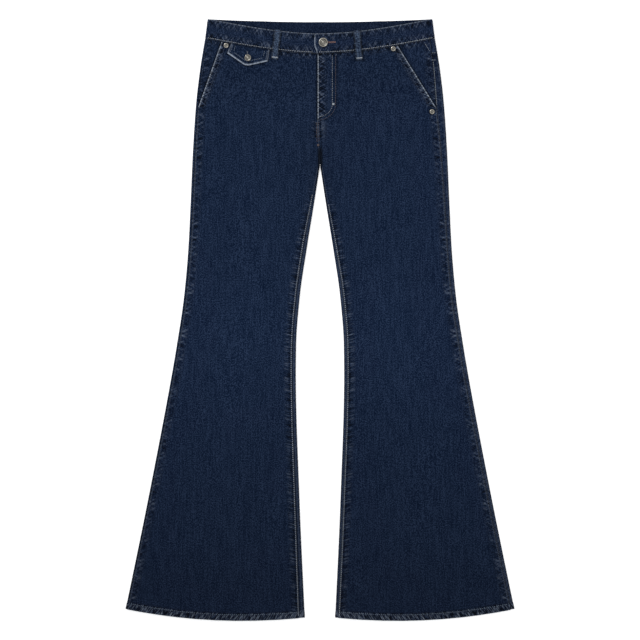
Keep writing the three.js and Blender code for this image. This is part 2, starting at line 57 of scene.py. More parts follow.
# %% [markdown]
# ## Camera, table and light
# A garment that lies flat is seen here from straight above with a long lens, so that its outline shows
# without perspective. The lens is 120 mm on a 36 mm sensor, and the camera's height follows from the
# width of table that it should see. The light is a bright overcast: an even sky, and one wide soft box
# towards the waist, low enough to pick out the seams.

# %% Camera
SEEN_WIDTH = 1171.2
LENS = 120.0
SENSOR = 36.0
VIEW_CENTRE = (0.0, 0.0)


def make_camera():
    data = bpy.data.cameras.new("camera")
    data.lens = LENS
    data.sensor_width = SENSOR
    camera = bpy.data.objects.new("camera", data)
    camera.location = (VIEW_CENTRE[0] * MM, VIEW_CENTRE[1] * MM, SEEN_WIDTH * MM * LENS / SENSOR)
    bpy.context.scene.collection.objects.link(camera)
    bpy.context.scene.camera = camera
    return camera


camera = make_camera()
print("camera height", round(camera.location.z, 2), "m")


# %% Table and light
def make_floor(colour, half_size):
    mesh = bpy.data.meshes.new("floor")
    corners = [(x * half_size, y * half_size, -0.0002) for x, y in ((-1, -1), (1, -1), (1, 1), (-1, 1))]
    mesh.from_pydata(corners, [], [(0, 1, 2, 3)])
    floor = bpy.data.objects.new("floor", mesh)
    bpy.context.scene.collection.objects.link(floor)
    material = bpy.data.materials.new("floor_paper")
    material.use_nodes = True
    shader = material.node_tree.nodes["Principled BSDF"]
    shader.inputs["Base Color"].default_value = (*colour, 1.0)
    shader.inputs["Roughness"].default_value = 0.9
    shader.inputs["Specular IOR Level"].default_value = 0.1
    shader.inputs["Emission Color"].default_value = (1.0, 1.0, 1.0, 1.0)
    shader.inputs["Emission Strength"].default_value = 0.35
    mesh.materials.append(material)
    return floor


def soft_box(name, place, size, power, aim=(0, 0, 0)):
    data = bpy.data.lights.new(name, "AREA")
    data.shape = "DISK"
    data.size = size
    data.energy = power
    light = bpy.data.objects.new(name, data)
    light.location = place
    light.rotation_euler = (Vector(aim) - Vector(place)).to_track_quat("-Z", "Y").to_euler()
    bpy.context.scene.collection.objects.link(light)
    return light


def make_sky(strength):
    world = bpy.data.worlds.new("sky")
    world.use_nodes = True
    background = world.node_tree.nodes["Background"]
    background.inputs["Color"].default_value = (0.97, 0.98, 1.0, 1.0)
    background.inputs["Strength"].default_value = strength
    bpy.context.scene.world = world


make_floor(colour=(0.96, 0.96, 0.96), half_size=30.0)
make_sky(strength=0.72)
soft_box("key", (-1.6, 2.6, 2.2), size=1.0, power=78)
soft_box("fill", (2.2, -1.4, 2.6), size=1.6, power=20)
bpy.context.scene.view_settings.view_transform = "Standard"

# %% [markdown]
# ## A small language for materials
# Every finish below is procedural: it is worked out from noise, waves and painted masks instead of
# pictures. Wiring nodes by hand hides the sums, so one small class wraps a socket and lets Python's own
# operators add the Math nodes. Any other node comes from `Finish.node`, which takes the node's type,
# then its settings, then the values or links of its sockets.


# %% Wire: a socket that can be added, multiplied and compared
class Wire:
    def __init__(self, finish, socket):
        self.finish = finish
        self.socket = socket

    def sum(self, operation, first, second, clamp=False):
        settings = {"operation": operation, "use_clamp": clamp}
        return self.finish.node("ShaderNodeMath", settings, {0: first, 1: second})

    def __add__(self, other):
        return self.sum("ADD", self, other)

    def __radd__(self, other):
        return self.sum("ADD", other, self)

    def __sub__(self, other):
        return self.sum("SUBTRACT", self, other)

    def __rsub__(self, other):
        return self.sum("SUBTRACT", other, self)

    def __mul__(self, other):
        return self.sum("MULTIPLY", self, other)

    def __rmul__(self, other):
        return self.sum("MULTIPLY", other, self)

    def __pow__(self, other):
        return self.sum("POWER", self, other)

    def clamped(self):
        return self.sum("ADD", self, 0.0, clamp=True)


# %% Finish: a material that is being wired
def linear(red, green, blue):
    """A colour given in the 0 to 255 steps of a paint chart, as the linear light that a shader wants."""
    steps = [value / 255.0 for value in (red, green, blue)]
    light = [s / 12.92 if s <= 0.04045 else ((s + 0.055) / 1.055) ** 2.4 for s in steps]
    return (*light, 1.0)


class Finish:
    def __init__(self, name):
        self.material = bpy.data.materials.new(name)
        self.material.use_nodes = True
        self.tree = self.material.node_tree
        self.shader = self.tree.nodes["Principled BSDF"]

    def feed(self, socket, value):
        if isinstance(value, Wire):
            self.tree.links.new(value.socket, socket)
        else:
            socket.default_value = value

    def node(self, kind, settings=None, inputs=None, output=0):
        made = self.tree.nodes.new(kind)
        for key, value in (settings or {}).items():
            setattr(made, key, value)
        for key, value in (inputs or {}).items():
            self.feed(made.inputs[key], value)
        return Wire(self, made.outputs[output])

    def set(self, **sockets):
        for key, value in sockets.items():
            self.feed(self.shader.inputs[key.replace("_", " ")], value)

    def mix(self, factor, first, second):
        inputs = {0: factor, 6: first, 7: second}
        return self.node("ShaderNodeMix", {"data_type": "RGBA"}, inputs, output=2)

    def painted(self, name):
        return self.node("ShaderNodeAttribute", {"attribute_name": name}, output="Fac")

    def place(self, scale):
        """Positions in the frame, stretched by a number for each direction."""
        where = self.node("ShaderNodeTexCoord", output="Object")
        settings = {"operation": "MULTIPLY"}
        return self.node("ShaderNodeVectorMath", settings, {0: where, 1: scale})

    def noise(self, scale, detail=2.0, roughness=0.5):
        inputs = {"Vector": self.place(scale), "Scale": 1.0, "Detail": detail, "Roughness": roughness}
        return self.node("ShaderNodeTexNoise", None, inputs)

    def bump(self, strength, distance, height):
        inputs = {"Strength": strength, "Distance": distance, "Height": height}
        return self.node("ShaderNodeBump", None, inputs)

    def ridges(self, turn, shift):
        """Puckers about 0, drawn where the cloth carries its place along a seam and away from it."""
        along, slant = self.painted("along"), self.painted("slant")
        axes = {"X": (along + slant * turn) * 2.7 + shift, "Y": slant * 0.9, "Z": shift}
        place = self.node("ShaderNodeCombineXYZ", None, axes)
        inputs = {"Vector": place, "Scale": 1.0, "Detail": 1.0, "Roughness": 0.4}
        return (self.node("ShaderNodeTexNoise", None, inputs) - 0.52) * 3.4


print("operators ready:", [name for name in vars(Wire) if name.startswith("__r")])

# %% [markdown]
# ## The pattern
# A pattern cutter draws a few curves and measures everything else from them. Here "down" is the
# distance from the top of the waistband towards the hems, in millimetres, and the tables below give the
# outline at a few places. `read` joins the rows with a smooth curve that never overshoots.

# %% Pattern tables
DENIM = 1.0
SEAM_GAP = 0.3
BAND_SEAM_GAP = 0.7
BAND_HEIGHT = 35.5
BAND_WALL = 2.0
BAND_HALF_TOP = 205.5
BAND_FLARE = 0.022
FRONT_DIP = 27.0
BACK_DIP = 5.5
LENGTH = WAIST_Y * 2
CROTCH_DOWN = 266.3
FLY_EDGE = -4.4
FLY_WIDTH = 34.0
FLY_END_DOWN = 185.0
CENTRE_SEAM_END = -1.5
UNDERLAP = 10.4
YOKE_SIDE_DOWN = 68.0
YOKE_CENTRE_DOWN = 106.0
HEM_DEPTH = 12.5
HEM_RISE_OUTER = 22.5
HEM_RISE_INNER = 6.0
HEM_LOWEST = 0.65
HEM_BEND_START = 820.0
FRONT_LEVEL = 3.0
FRONT_RISE = 1.1
FRONT_BAND_LEVEL = 3.6
UNDER_LIFT = 1.3
HEM_EXTRA = 0.6
GROOVE = 0.6


def table(columns, rows):
    """Named columns from lines of numbers."""
    lines = [line.split() for line in rows.strip().splitlines()]
    return dict(zip(columns.split(), np.array(lines, float).T))


# Half width of the legs, and the strip of back that comes round to the side seam on each side.
OUTER = table("down half right left", """
    35 210.0 4.0 9.5
    90 219.0 4.0 12.0
    155 226.6 4.2 14.5
    243 232.5 5.0 11.5
    331 236.4 4.8 9.2
    419 240.8 4.5 8.0
    507 248.6 4.0 8.0
    595 261.6 3.8 7.7
    661 272.9 3.7 7.6
    880 314.7 3.2 7.2
    1101 360.0 3.0 7.0""")
# Half of the gap between the legs, and the strip of back that comes round to each inseam.
INNER = table("down half right left", """
    266.3 0 1.6 1.6
    331 9.9 4.2 2.4
    419 24.1 7.1 4.7
    507 36.9 7.0 5.7
    595 43.6 7.0 5.7
    650 44.2 6.9 5.5
    880 37.5 7.5 5.3
    1101 27.6 9.8 5.5""")
POCKET_MOUTH = {
    "right": {"top": (180.0, 42.0), "foot": (222.4, 161.0)},
    "left": {"top": (141.3, 47.9), "foot": (212.2, 162.0)},
}
SIDES = {"right": -1.0, "left": 1.0}


# %% Reading the tables
def read(rows, column, down):
    x, y = rows["down"], rows[column]
    step = np.diff(x)
    slope = np.diff(y) / step
    before, after = slope[:-1], slope[1:]
    same_way = before * after > 0
    total = np.where(same_way, before + after, 1.0)
    tangent = np.concatenate(([slope[0]], np.where(same_way, 2 * before * after / total, 0.0), [slope[-1]]))
    down = np.asarray(down, float)
    i = np.clip(np.searchsorted(x, down, side="right") - 1, 0, len(step) - 1)
    t = np.clip((down - x[i]) / step[i], 0, 1)
    u = 1 - t
    ends = y[i] * u * u * (1 + 2 * t) + y[i + 1] * t * t * (1 + 2 * u)
    return ends + step[i] * (tangent[i] * t * u * u - tangent[i + 1] * t * t * u)


def smooth(start, end, value):
    t = np.clip((value - start) / (end - start), 0, 1)
    return t * t * (3 - 2 * t)


def fall(start, end, value):
    """The other way about: 1 before the start and 0 after the end."""
    return 1 - smooth(start, end, value)


def peak(value, place, width):
    """A soft peak of height 1."""
    return np.exp(-(((value - place) / width) ** 2))


def grooves(away, rows):
    """The dents that rows of stitches pull at their distances from an edge."""
    return sum((peak(away, row, GROOVE) for row in rows), 0 * away)


def near(away, reach):
    """1 at no distance, falling evenly to 0 at the reach."""
    return np.clip(1 - away / reach, 0, 1)


def lerp(a, b, t):
    return a + (b - a) * t


def band_top(x, dip, power, sharpness):
    share = np.minimum(1, np.abs(x) / BAND_HALF_TOP)
    return dip * (1 - share**power) ** sharpness


def front_band_top(x):
    return band_top(x, FRONT_DIP, 1.7, 1.1)


def back_band_top(x):
    return band_top(x, BACK_DIP, 2.0, 1.0)


def front_band_foot(x):
    return front_band_top(np.asarray(x) / (1 + BAND_FLARE)) + BAND_HEIGHT


def back_band_foot(x):
    return back_band_top(np.asarray(x) / (1 + BAND_FLARE)) + BAND_HEIGHT


def outer_half(down):
    return read(OUTER, "half", down)


def inner_half(down):
    return np.where(down < CROTCH_DOWN, 0.0, read(INNER, "half", down))


def side_seam(side, down):
    return outer_half(down) - read(OUTER, side, down)


def inseam(side, down):
    return inner_half(down) + read(INNER, side, down)


def pocket_mouth(side, down):
    (top_x, top_down), (foot_x, foot_down) = POCKET_MOUTH[side].values()
    return lerp(top_x, foot_x, (down - top_down) / (foot_down - top_down))


def centre_front(down):
    return lerp(FLY_EDGE, CENTRE_SEAM_END, smooth(FLY_END_DOWN, CROTCH_DOWN, down))


print("widest at the hem:", round(float(outer_half(1078.0)) * 2, 1), "mm")


# %% How the rows bend
def hem_rise(x, down):
    outer, inner = outer_half(down), inner_half(down)
    across = np.clip((outer - np.abs(x)) / (outer - inner), 0, 1)
    outside = HEM_RISE_OUTER * (1 - across / HEM_LOWEST) ** 2
    inside = HEM_RISE_INNER * ((across - HEM_LOWEST) / (1 - HEM_LOWEST)) ** 2
    return np.where(across < HEM_LOWEST, outside, inside)


def at_hem(row):
    """1 on the turned-up hem."""
    return smooth(LENGTH - 14.5, LENGTH - 12.5, row)


def bend_to_hem(x, down):
    return down - hem_rise(x, down) * smooth(HEM_BEND_START, LENGTH - HEM_DEPTH, down)


def bend_to_band(x, down):
    foot = front_band_foot(0.0)
    return down - (foot - front_band_foot(x)) * fall(foot, 165, down)


def bend_front(x, down):
    return np.where(down < CROTCH_DOWN, bend_to_band(x, down), bend_to_hem(x, down))


def yoke_line(across):
    return lerp(YOKE_CENTRE_DOWN, YOKE_SIDE_DOWN, across)


def bend_to_yoke(across, down):
    return down - (YOKE_CENTRE_DOWN - yoke_line(across)) * fall(YOKE_CENTRE_DOWN, 200, down)


def settle(edge, bend, down):
    """Where a bent row meets an edge that itself runs down the leg."""
    x = edge(down)
    for _ in range(20):
        x = edge(bend(x, down))
    return x


# %% [markdown]
# ## How high each layer lies
# Two layers of denim lie on each other with a little air between them. The front rises to meet the
# thicker waistband, and the left front rises again over the zip behind the fly.


# %% Levels
def front_floor(down):
    return FRONT_LEVEL + FRONT_RISE * fall(90, 200, down)


def fly_lift(x, down):
    far = FLY_EDGE + FLY_WIDTH
    across = np.where(x < FLY_EDGE - 1, 0.0, fall(far, far + 12, x))
    return UNDER_LIFT * across * fall(FLY_END_DOWN, FLY_END_DOWN + 30, down)


# %% [markdown]
# ## Puckers
# When a seam is sewn and washed, the thread shrinks and the cloth beside it gathers into small slanting
# ridges, which then rub paler than the hollows. No two are alike, so a `Rope` draws their places,
# heights and lengths once from a seeded shuffle, and every piece along that seam reads the same rope.


# %% Rope: the ridges along one seam
class Rope:
    def __init__(self, seed, length, spacing, width, slant=0.0, crossed=False):
        shuffle = np.random.default_rng(seed)
        self.slant = slant
        self.s = np.arange(-20, length + 20, 0.25)
        self.ridges = [self.draw(shuffle, length, spacing, width) for _ in range(2 if crossed else 1)]
        self.mean = sum(float(ridge.mean()) for ridge in self.ridges)
        places = np.arange(-20, length + 20, spacing)
        self.reach = np.interp(self.s, places, shuffle.uniform(0.5, 1.25, len(places)))

    def draw(self, shuffle, length, spacing, width):
        gaps = shuffle.uniform(0.6, 1.5, int(length / spacing * 1.4) + 8) * spacing
        places = np.cumsum(gaps) - 4 * spacing
        heights = shuffle.uniform(0.25, 1.0, len(places))
        widths = width * shuffle.uniform(0.7, 1.35, len(places))
        ridge = np.zeros_like(self.s)
        for place, height, wide in zip(places, heights, widths):
            ridge += height * peak(self.s, place, wide)
        return np.clip(ridge, 0, 1.2)

    def at(self, s, away):
        """Ridge height, about 0 on average, at a place s along the seam and a distance away from it."""
        turns = (-self.slant, self.slant)
        lines = [np.interp(s + turn * away, self.s, ridge) for turn, ridge in zip(turns, self.ridges)]
        return sum(lines) - self.mean

    def fade(self, s, away, reach):
        """1 beside the seam, falling to 0 at the reach of the ridge there."""
        local = reach * np.interp(s, self.s, self.reach)
        return near(away, local) ** 0.8 * (away >= 0)


DRAPE_WAVES = 9


def drape(x, down, seed):
    """Soft waves of about one millimetre that cloth keeps when it is laid out by hand."""
    shuffle = np.random.default_rng(seed)
    total = np.zeros(np.broadcast(x, down).shape)
    for _ in range(DRAPE_WAVES):
        length_x = shuffle.uniform(70, 240)
        length_down = shuffle.uniform(160, 520)
        tilt = shuffle.uniform(-0.5, 0.5)
        phase = shuffle.uniform(0, 2 * math.pi)
        height = shuffle.uniform(0.05, 0.17)
        total += height * np.sin(2 * math.pi * ((x + tilt * down) / length_x + down / length_down) + phase)
    return total


# %% [markdown]
# ## Cloth as a closed wall
# Each piece is a grid of points for the outer face and a matching one for the inner face. Joining their
# four edges gives a closed wall with a real thickness. Three painted values travel with every point:
# `wear`, which is above zero where the dye has rubbed off and below zero where it has stayed dark and
# where shadow is painted beside seams, under the band and round the trims, `edge`, which marks the
# palest rims, and `shade`, a darkening towards the hems that also holds painted shade in the crotch
# and on the rolled edges.


# %% Tone down the leg, and painted shade
LEG_TONE = table("down shade", """
    40 0.92
    110 0.88
    170 0.97
    330 1.0
    450 1.0
    560 1.05
    640 1.0
    740 0.9
    860 0.79
    960 0.71
    1060 0.62
    1101 0.62""")


def leg_tone_and_painted_shade(x, down):
    """Darker towards the hems and round the crotch and washed along the middle of each knee, with painted
    shadow in the slot below the fly and painted shade on the rolled edges.
    """
    middle = lerp(0.5, 0.58, smooth(300, 900, down)) * outer_half(down)
    crease = peak(x, middle, 55) * smooth(380, 520, down) * fall(620, 860, down)
    inner_leg = peak(x, 0, 40) * peak(down, 262, 70)
    # Painted shadow: a dark slot down the centre below the fly, where the crotch folds in.
    slot = peak(x, 1.5, 2.8) * smooth(231, 242, down) * fall(275, 330, down)
    # Painted shade on the last 2.2 mm of the rolled outer and inner edges, which turn away from the light.
    outer_edge_shade = fall(0.0, 2.2, outer_half(down) - x) * smooth(60, 80, down)
    inner_edge_shade = fall(0.0, 2.2, x - inner_half(down)) * smooth(CROTCH_DOWN, 280, down)
    shade = read(LEG_TONE, "shade", down) * (1 + 0.05 * crease) * (1 - 0.16 * inner_leg)
    return shade * (1 - 0.8 * slot) * (1 - 0.45 * np.maximum(outer_edge_shade, inner_edge_shade))


# %% [markdown]
# The wall itself is then a matter of joining numbered points: every square of the grid becomes one face,
# and the rims between the outer and the inner face close it.


# %% Wall
def grid_faces(rows, columns, first, flip):
    i, j = np.meshgrid(np.arange(rows - 1), np.arange(columns - 1), indexing="ij")
    a = first + i * columns + j
    quads = np.stack([a, a + 1, a + columns + 1, a + columns], axis=-1).reshape(-1, 4)
    return quads[:, ::-1] if flip else quads


def rim_faces(rows, columns):
    top = np.arange(columns)
    foot = (rows - 1) * columns + top
    first = np.arange(rows) * columns
    last = first + columns - 1
    count = rows * columns
    strips = []
    for line, flip in ((top, True), (foot, False), (first, False), (last, True)):
        quads = np.stack([line[:-1], line[1:], line[1:] + count, line[:-1] + count], axis=-1)
        strips.append(quads if flip else quads[:, ::-1])
    return np.concatenate(strips)


def signed_volume(points, quads):
    a, b, c, d = (points[quads[:, k]] for k in range(4))
    return float((np.cross(a, b) * c).sum() + (np.cross(a, c) * d).sum())


def make_mesh(name, points, faces, painted=None):
    mesh = bpy.data.meshes.new(name)
    mesh.vertices.add(len(points))
    mesh.vertices.foreach_set("co", (points * MM).astype(np.float32).ravel())
    sizes = faces.shape[1]
    mesh.loops.add(faces.size)
    mesh.loops.foreach_set("vertex_index", faces.astype(np.int32).ravel())
    mesh.polygons.add(len(faces))
    mesh.polygons.foreach_set("loop_start", np.arange(0, faces.size, sizes, dtype=np.int32))
    mesh.update(calc_edges=True)
    mesh.polygons.foreach_set("use_smooth", np.ones(len(faces), bool))
    for key, values in (painted or {}).items():
        layer = mesh.attributes.new(key, "FLOAT", "POINT")
        layer.data.foreach_set("value", values.astype(np.float32).ravel())
    mesh.validate()
    piece = bpy.data.objects.new(name, mesh)
    bpy.context.scene.collection.objects.link(piece)
    return piece


PUCKER_KEYS = ("along", "slant", "forward", "backward")
CLOTH = {}


def to_frame(x, down, z):
    return np.stack(np.broadcast_arrays(x, WAIST_Y - down, z), axis=-1)


def on_side(side, x, down, z):
    return to_frame(SIDES[side] * x, down, z)


def wall(node, name, outer, inner, wear, edge, slot="denim", inside=0.0, puckers=None):
    """Makes a piece of cloth and lets it stand for a plain solid of the frame."""
    rows, columns = outer.shape[:2]
    points = np.concatenate([outer.reshape(-1, 3), inner.reshape(-1, 3)])
    count = rows * columns
    faces = [grid_faces(rows, columns, 0, False), grid_faces(rows, columns, count, True)]
    faces = np.concatenate([*faces, rim_faces(rows, columns)])
    if signed_volume(points, faces) < 0:
        faces = faces[:, ::-1]
    painted = {
        "wear": np.concatenate([wear.ravel(), np.full(count, inside)]),
        "edge": np.concatenate([edge.ravel(), np.zeros(count)]),
        "shade": leg_tone_and_painted_shade(np.abs(points[:, 0]), WAIST_Y - points[:, 1]),
    }
    if puckers is None:
        puckers = np.zeros((4, rows, columns))
    for key, value in zip(PUCKER_KEYS, puckers):
        whole = np.broadcast_to(value, (rows, columns))
        painted[key] = np.concatenate([whole.ravel(), np.zeros(count)])
    piece = make_mesh(name, points, faces, painted)
    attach(piece, "root")
    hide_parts(node)
    CLOTH[node] = piece
    return piece

# %% [markdown]
# ## Sewn edges
# Every edge of a pair of jeans is made the same way: the cloth is folded under, which makes a raised
# band, rows of stitches pull grooves into that band, and the cloth beside it puckers. `sewn` gives the
# height, the wear and the pale rim of such an edge from the distance to it, so that one table can
# describe every seam of the garment. Puckers lie `spacing` apart and lean by `slant`. The band is `bulk`
# high and `width` wide, and `rows` are the distances from the edge to its rows of stitches.

# %% Seam table
SEAM_COLUMNS = "spacing slant bulk width ridge reach wear rim rows".split()
SEAM_ROWS = {
    "inseam": (6.0, 0.25, 0.42, 8.5, 0.42, 15.0, 3.2, 0.3, (1.5,)),
    "side": (11.0, 0.5, 0.30, 8.5, 0.25, 16.0, 1.8, 0.2, (1.7,)),
    "pocket": (8.0, 0.6, 0.40, 10.0, 0.36, 14.0, 3.6, 1.9, (3.4, 8.8)),
    "band": (10.0, 0.6, 0.0, 3.0, 0.30, 11.0, 2.4, 0.1, ()),
    "centre": (5.2, 0.4, 0.30, 6.0, 0.34, 14.0, 2.6, 0.02, (1.5,)),
    "fly": (8.5, 0.6, 0.35, 30.0, 0.25, 20.0, 3.4, 1.3, (2.8,)),
    "waist": (9.0, 0.6, 0.0, 3.0, 0.30, 15.0, 2.2, 0.1, ()),
    "hem": (5.6, 0.6, 0.45, 11.6, 0.40, 80.0, 6.0, 0.8, (11.3,)),
}
SEAMS = {name: dict(zip(SEAM_COLUMNS, row)) for name, row in SEAM_ROWS.items()}
CROSSED = ("waist", "pocket", "band", "fly", "side")
SHADED_BESIDE = ("inseam", "centre")
ROPES = {}
for number, (seam, shape) in enumerate(SEAMS.items()):
    for side in SIDES:
        width = shape["spacing"] * (0.17 if seam in CROSSED else 0.26)
        seed = 20 + number * 2 + (side == "left")
        ROPES[seam, side] = Rope(seed, LENGTH, shape["spacing"], width, shape["slant"], seam in CROSSED)
print("ropes:", len(ROPES))


# %% Sewn edge
def rounded(away, drop=0.42, reach=0.8):
    """How far the face sinks at a cut or folded edge, so that it catches the light as a soft line."""
    return drop * near(away, reach) ** 2


def sewn(seam, side, s, away, share=1.0):
    shape, rope = SEAMS[seam], ROPES[seam, side]
    away = np.maximum(away, 0.0)
    ridge = rope.at(s, away) * rope.fade(s, away, shape["reach"]) * smooth(0.2, 1.8, away)
    dents = grooves(away, shape["rows"])
    bulk = shape["bulk"] * fall(shape["width"] - 0.6, shape["width"] + 1.8, away)
    height = bulk + shape["ridge"] * ridge - 0.2 * dents
    # Painted shadow in a dark line 4.6 mm beside the inseam and the centre seam.
    wear = 0.3 * ridge - 0.2 * dents - 0.9 * peak(away, 4.6, 1.7) * (seam in SHADED_BESIDE)
    rim = fall(0.6 * shape["rim"], 1.2 * shape["rim"], away)
    return np.array([height * share - rounded(away) * (share > 0.5), wear * share, rim * share])


def puckered(seams):
    """What the finish needs to draw puckers: the strongest seam at each point, and where it lies on it."""
    drawn = []
    for seam, s, away, share in seams:
        shape = SEAMS[seam]
        forward = shape["wear"] * near(away, shape["reach"]) ** 0.7 * (away >= 0) * share
        along, slant = s / shape["spacing"], shape["slant"] * away / shape["spacing"]
        drawn.append(np.broadcast_arrays(along, slant, forward, forward * (seam in CROSSED)))
    drawn = np.array(drawn)
    strongest = drawn[:, 2].argmax(0)
    return np.take_along_axis(drawn, strongest[None, None], axis=0)[0]


def joined(parts):
    """Adds the heights and the wear of several edges and keeps the palest rim."""
    parts = np.array(parts)
    return parts[:, 0].sum(0), parts[:, 1].sum(0), parts[:, 2].max(0)


# %% [markdown]
# ## The front panels
# A front panel is one long grid of about 590 rows. Its columns crowd together beside the seams, where
# there is something to see, and spread out over the plain of the thigh. Rows start along the waistband,
# run straight across the leg and bend again into the curve of the hem.

# %% Edges of a front
def front_outer_edge(side, down):
    seam = side_seam(side, down) - SEAM_GAP
    foot = POCKET_MOUTH[side]["foot"][1]
    return np.where(down < foot, np.minimum(seam, pocket_mouth(side, down)), seam)


def front_inner_edge(side, down):
    fly = centre_front(down) + SEAM_GAP / 2
    if side == "right":
        fly = SEAM_GAP / 2 - centre_front(down) - UNDERLAP * fall(165, 180, down)
    return np.where(down > CROTCH_DOWN, inseam(side, down) + SEAM_GAP, fly)


def settled(edge, side, row):
    """An edge of a front where each of its rows meets it."""
    return settle(lambda down: edge(side, down), bend_front, row)


# %% The J of the fly
J_TURN = 155.6
J_CENTRE = -5.0
J_ROWS = ((27.5, 23.6), (33.5, 29.2))


def beside_j(x, down, radius, drop):
    """Signed distance to one of the fly's two rows: straight down, then a quarter of an ellipse."""
    round_part = np.hypot((x - J_CENTRE) / radius, (down - J_TURN) / drop)
    return np.where(down < J_TURN, x - J_CENTRE - radius, (round_part - 1) * (radius + drop) / 2)


def fly_features(x, down):
    """The fly's own edge, the two rows of its J and the small puckers between and below them."""
    edge_away = x - centre_front(down) - SEAM_GAP / 2
    above = fall(FLY_END_DOWN - 3, FLY_END_DOWN + 2, down)
    parts = [sewn("fly", "left", down, edge_away, above), sewn("centre", "left", down, edge_away, 1 - above)]
    for radius, drop in J_ROWS:
        away = beside_j(x, down, radius, drop)
        ridge = ROPES["fly", "right"].at(down + x * 0.6, away) * peak(away, 0, 2.6)
        ridge = ridge * (down < FLY_END_DOWN + 4)
        sewn_here = down < FLY_END_DOWN + 2
        dent, beside = (peak(away, *shape) * sewn_here for shape in ((0, GROOVE), (2.6, 1.2)))
        wear = 0.6 * ridge - 0.4 * dent - 0.9 * beside
        parts.append(np.array([0.2 * ridge - 0.2 * dent, wear, 0 * ridge]))
    return joined(parts)


# %% Shadows beside the trims
LOOP_WIDTH = 12.4
LOOP_LENGTH = 54.0
LOOP_PROUD = 1.5
FRONT_LOOPS = {"right": (-77.0, -83.0), "left": (67.2, 72.2)}
RIVETS = {
    "rivet_right_upper": (-171.6, 48.6),
    "rivet_left_upper": (134.0, 54.6),
    "rivet_left_lower": (205.0, 169.5),
}
FLAP_TOP = (-162.0, -92.2)
FLAP_CORNERS = table("x down", """
    -169.8 62.6
    -153.5 73.8
    -137.5 84.6
    -130.0 85.2
    -112.5 81.4
    -95.3 77.4""")
YOKE_END = (62.0, 75.0)


def loop_shadow(x, down):
    """Painted shadow in a dark line beside each front loop and under its foot."""
    total = 0 * (x + down)
    for top_x, foot_x in FRONT_LOOPS.values():
        along = down - front_band_top(top_x) + LOOP_PROUD
        beside = np.abs(x - lerp(top_x, foot_x, along / LOOP_LENGTH)) - LOOP_WIDTH / 2
        away = np.hypot(np.maximum(beside, 0), np.maximum(along - LOOP_LENGTH, 0))
        total = total + peak(away, 0, 2.2) * (along > 0)
    return 1.3 * total


def trim_shadow(x, down):
    """Painted shadow on a front round its loops, its rivets and its ticket flap."""
    total = loop_shadow(x, down)
    for rivet_x, rivet_down in RIVETS.values():
        total = total + 1.6 * peak(np.hypot(x - rivet_x, down - rivet_down), 4.4, 1.9)
    share, corner = np.linspace(0, 1, 120), np.linspace(0, 1, len(FLAP_CORNERS["x"]))
    edge_x, edge_down = (np.interp(share, corner, FLAP_CORNERS[key]) for key in ("x", "down"))
    beside = (x < -85) & (x > -180) & (down < 100)
    away = np.hypot(x[beside][:, None] - edge_x, down[beside][:, None] - edge_down).min(1)
    total[beside] += 1.5 * peak(away, 0, 2.6)
    return total


# %% Features of a front
MOUTH_SQUARE = {"right": 0.942, "left": 0.849}


def front_seams(side, x, row):
    """The seams of a front: name, place along it, distance from it, and where it exists."""
    down = bend_front(x, row)
    foot = POCKET_MOUTH[side]["foot"][1]
    leg = smooth(CROTCH_DOWN, CROTCH_DOWN + 16, down)
    leg = leg * (0.2 + 0.8 * smooth(CROTCH_DOWN + 30, CROTCH_DOWN + 110, down))
    below_pocket = smooth(foot - 1, foot + 1, down)
    at_fly = x - centre_front(down) * SIDES[side] - SEAM_GAP / 2
    below_fly = smooth(FLY_END_DOWN - 2, FLY_END_DOWN + 4, down)
    seams = [
        ("inseam", down, x - inseam(side, down) - SEAM_GAP, leg),
        ("side", down, side_seam(side, down) - SEAM_GAP - x, below_pocket),
        ("pocket", down, (pocket_mouth(side, down) - x) * MOUTH_SQUARE[side], 1 - below_pocket),
        ("band", x, down - front_band_foot(x) - BAND_SEAM_GAP, 1.0),
        ("hem", x, LENGTH - row, at_hem(row)),
        ("centre", down, at_fly, below_fly * (down < CROTCH_DOWN - 50)),
    ]
    return seams + [("fly", down, at_fly, 1 - below_fly)] * (side == "left")


def front_features(side, x, row):
    down = bend_front(x, row)
    seams = front_seams(side, x, row)
    parts = [sewn(seam, side, *rest) for seam, *rest in seams if seam != "fly"]
    if side == "left":
        parts.append(np.array(fly_features(x, down)) * (down < CROTCH_DOWN + 2))
    height, wear, rim = joined(parts)
    # Painted shadow: under the waistband's foot, in a line just above the hem, on the right front beside the
    # fly's edge, and round the trims. On the left front a pale worn patch below the J is taken out of it.
    shadow = fall(0.8, 3.6, down - front_band_foot(x) - BAND_SEAM_GAP) + 0.6 * peak(LENGTH - row, 13.8, 1.5)
    if side == "left":
        shadow = shadow - peak(x, 3, 6) * peak(down, 198, 16)
    else:
        shadow = shadow + 1.5 * fall(1.0, 4.2, x + centre_front(down)) * (down < FLY_END_DOWN)
    bleach = smooth(LENGTH - 13, LENGTH - 11, row) * (0.5 + 1.6 * np.exp(-((x - inseam(side, down)) / 22)))
    shadow = shadow + trim_shadow(SIDES[side] * x + 0 * down, down + 0 * x)
    return height, wear - shadow + bleach, rim * (1 - 0.225 * smooth(LENGTH - 3, LENGTH, row))


def front_level(side, x, down):
    return front_floor(down) + (fly_lift(x, down) if side == "left" else 0.0)


def front_drape(side, x, down):
    """The cloth's own waves, held down at the seams and gone where the front meets other pieces."""
    ends = smooth(200, 320, down) * fall(1060, 1095, down)
    across = smooth(0, 45, side_seam(side, down) - x) * smooth(0, 40, x - inseam(side, down))
    return drape(x, down, 5 if side == "left" else 6) * ends * across


def front_point(side, x, row):
    """A point of the outer face at a place across the body and on a row of the panel."""
    down = bend_front(x, row)
    height, wear, rim = front_features(side, x, row)
    top = front_level(side, x, down) + DENIM + height + front_drape(side, x, down)
    return on_side(side, x, down, top), wear, rim


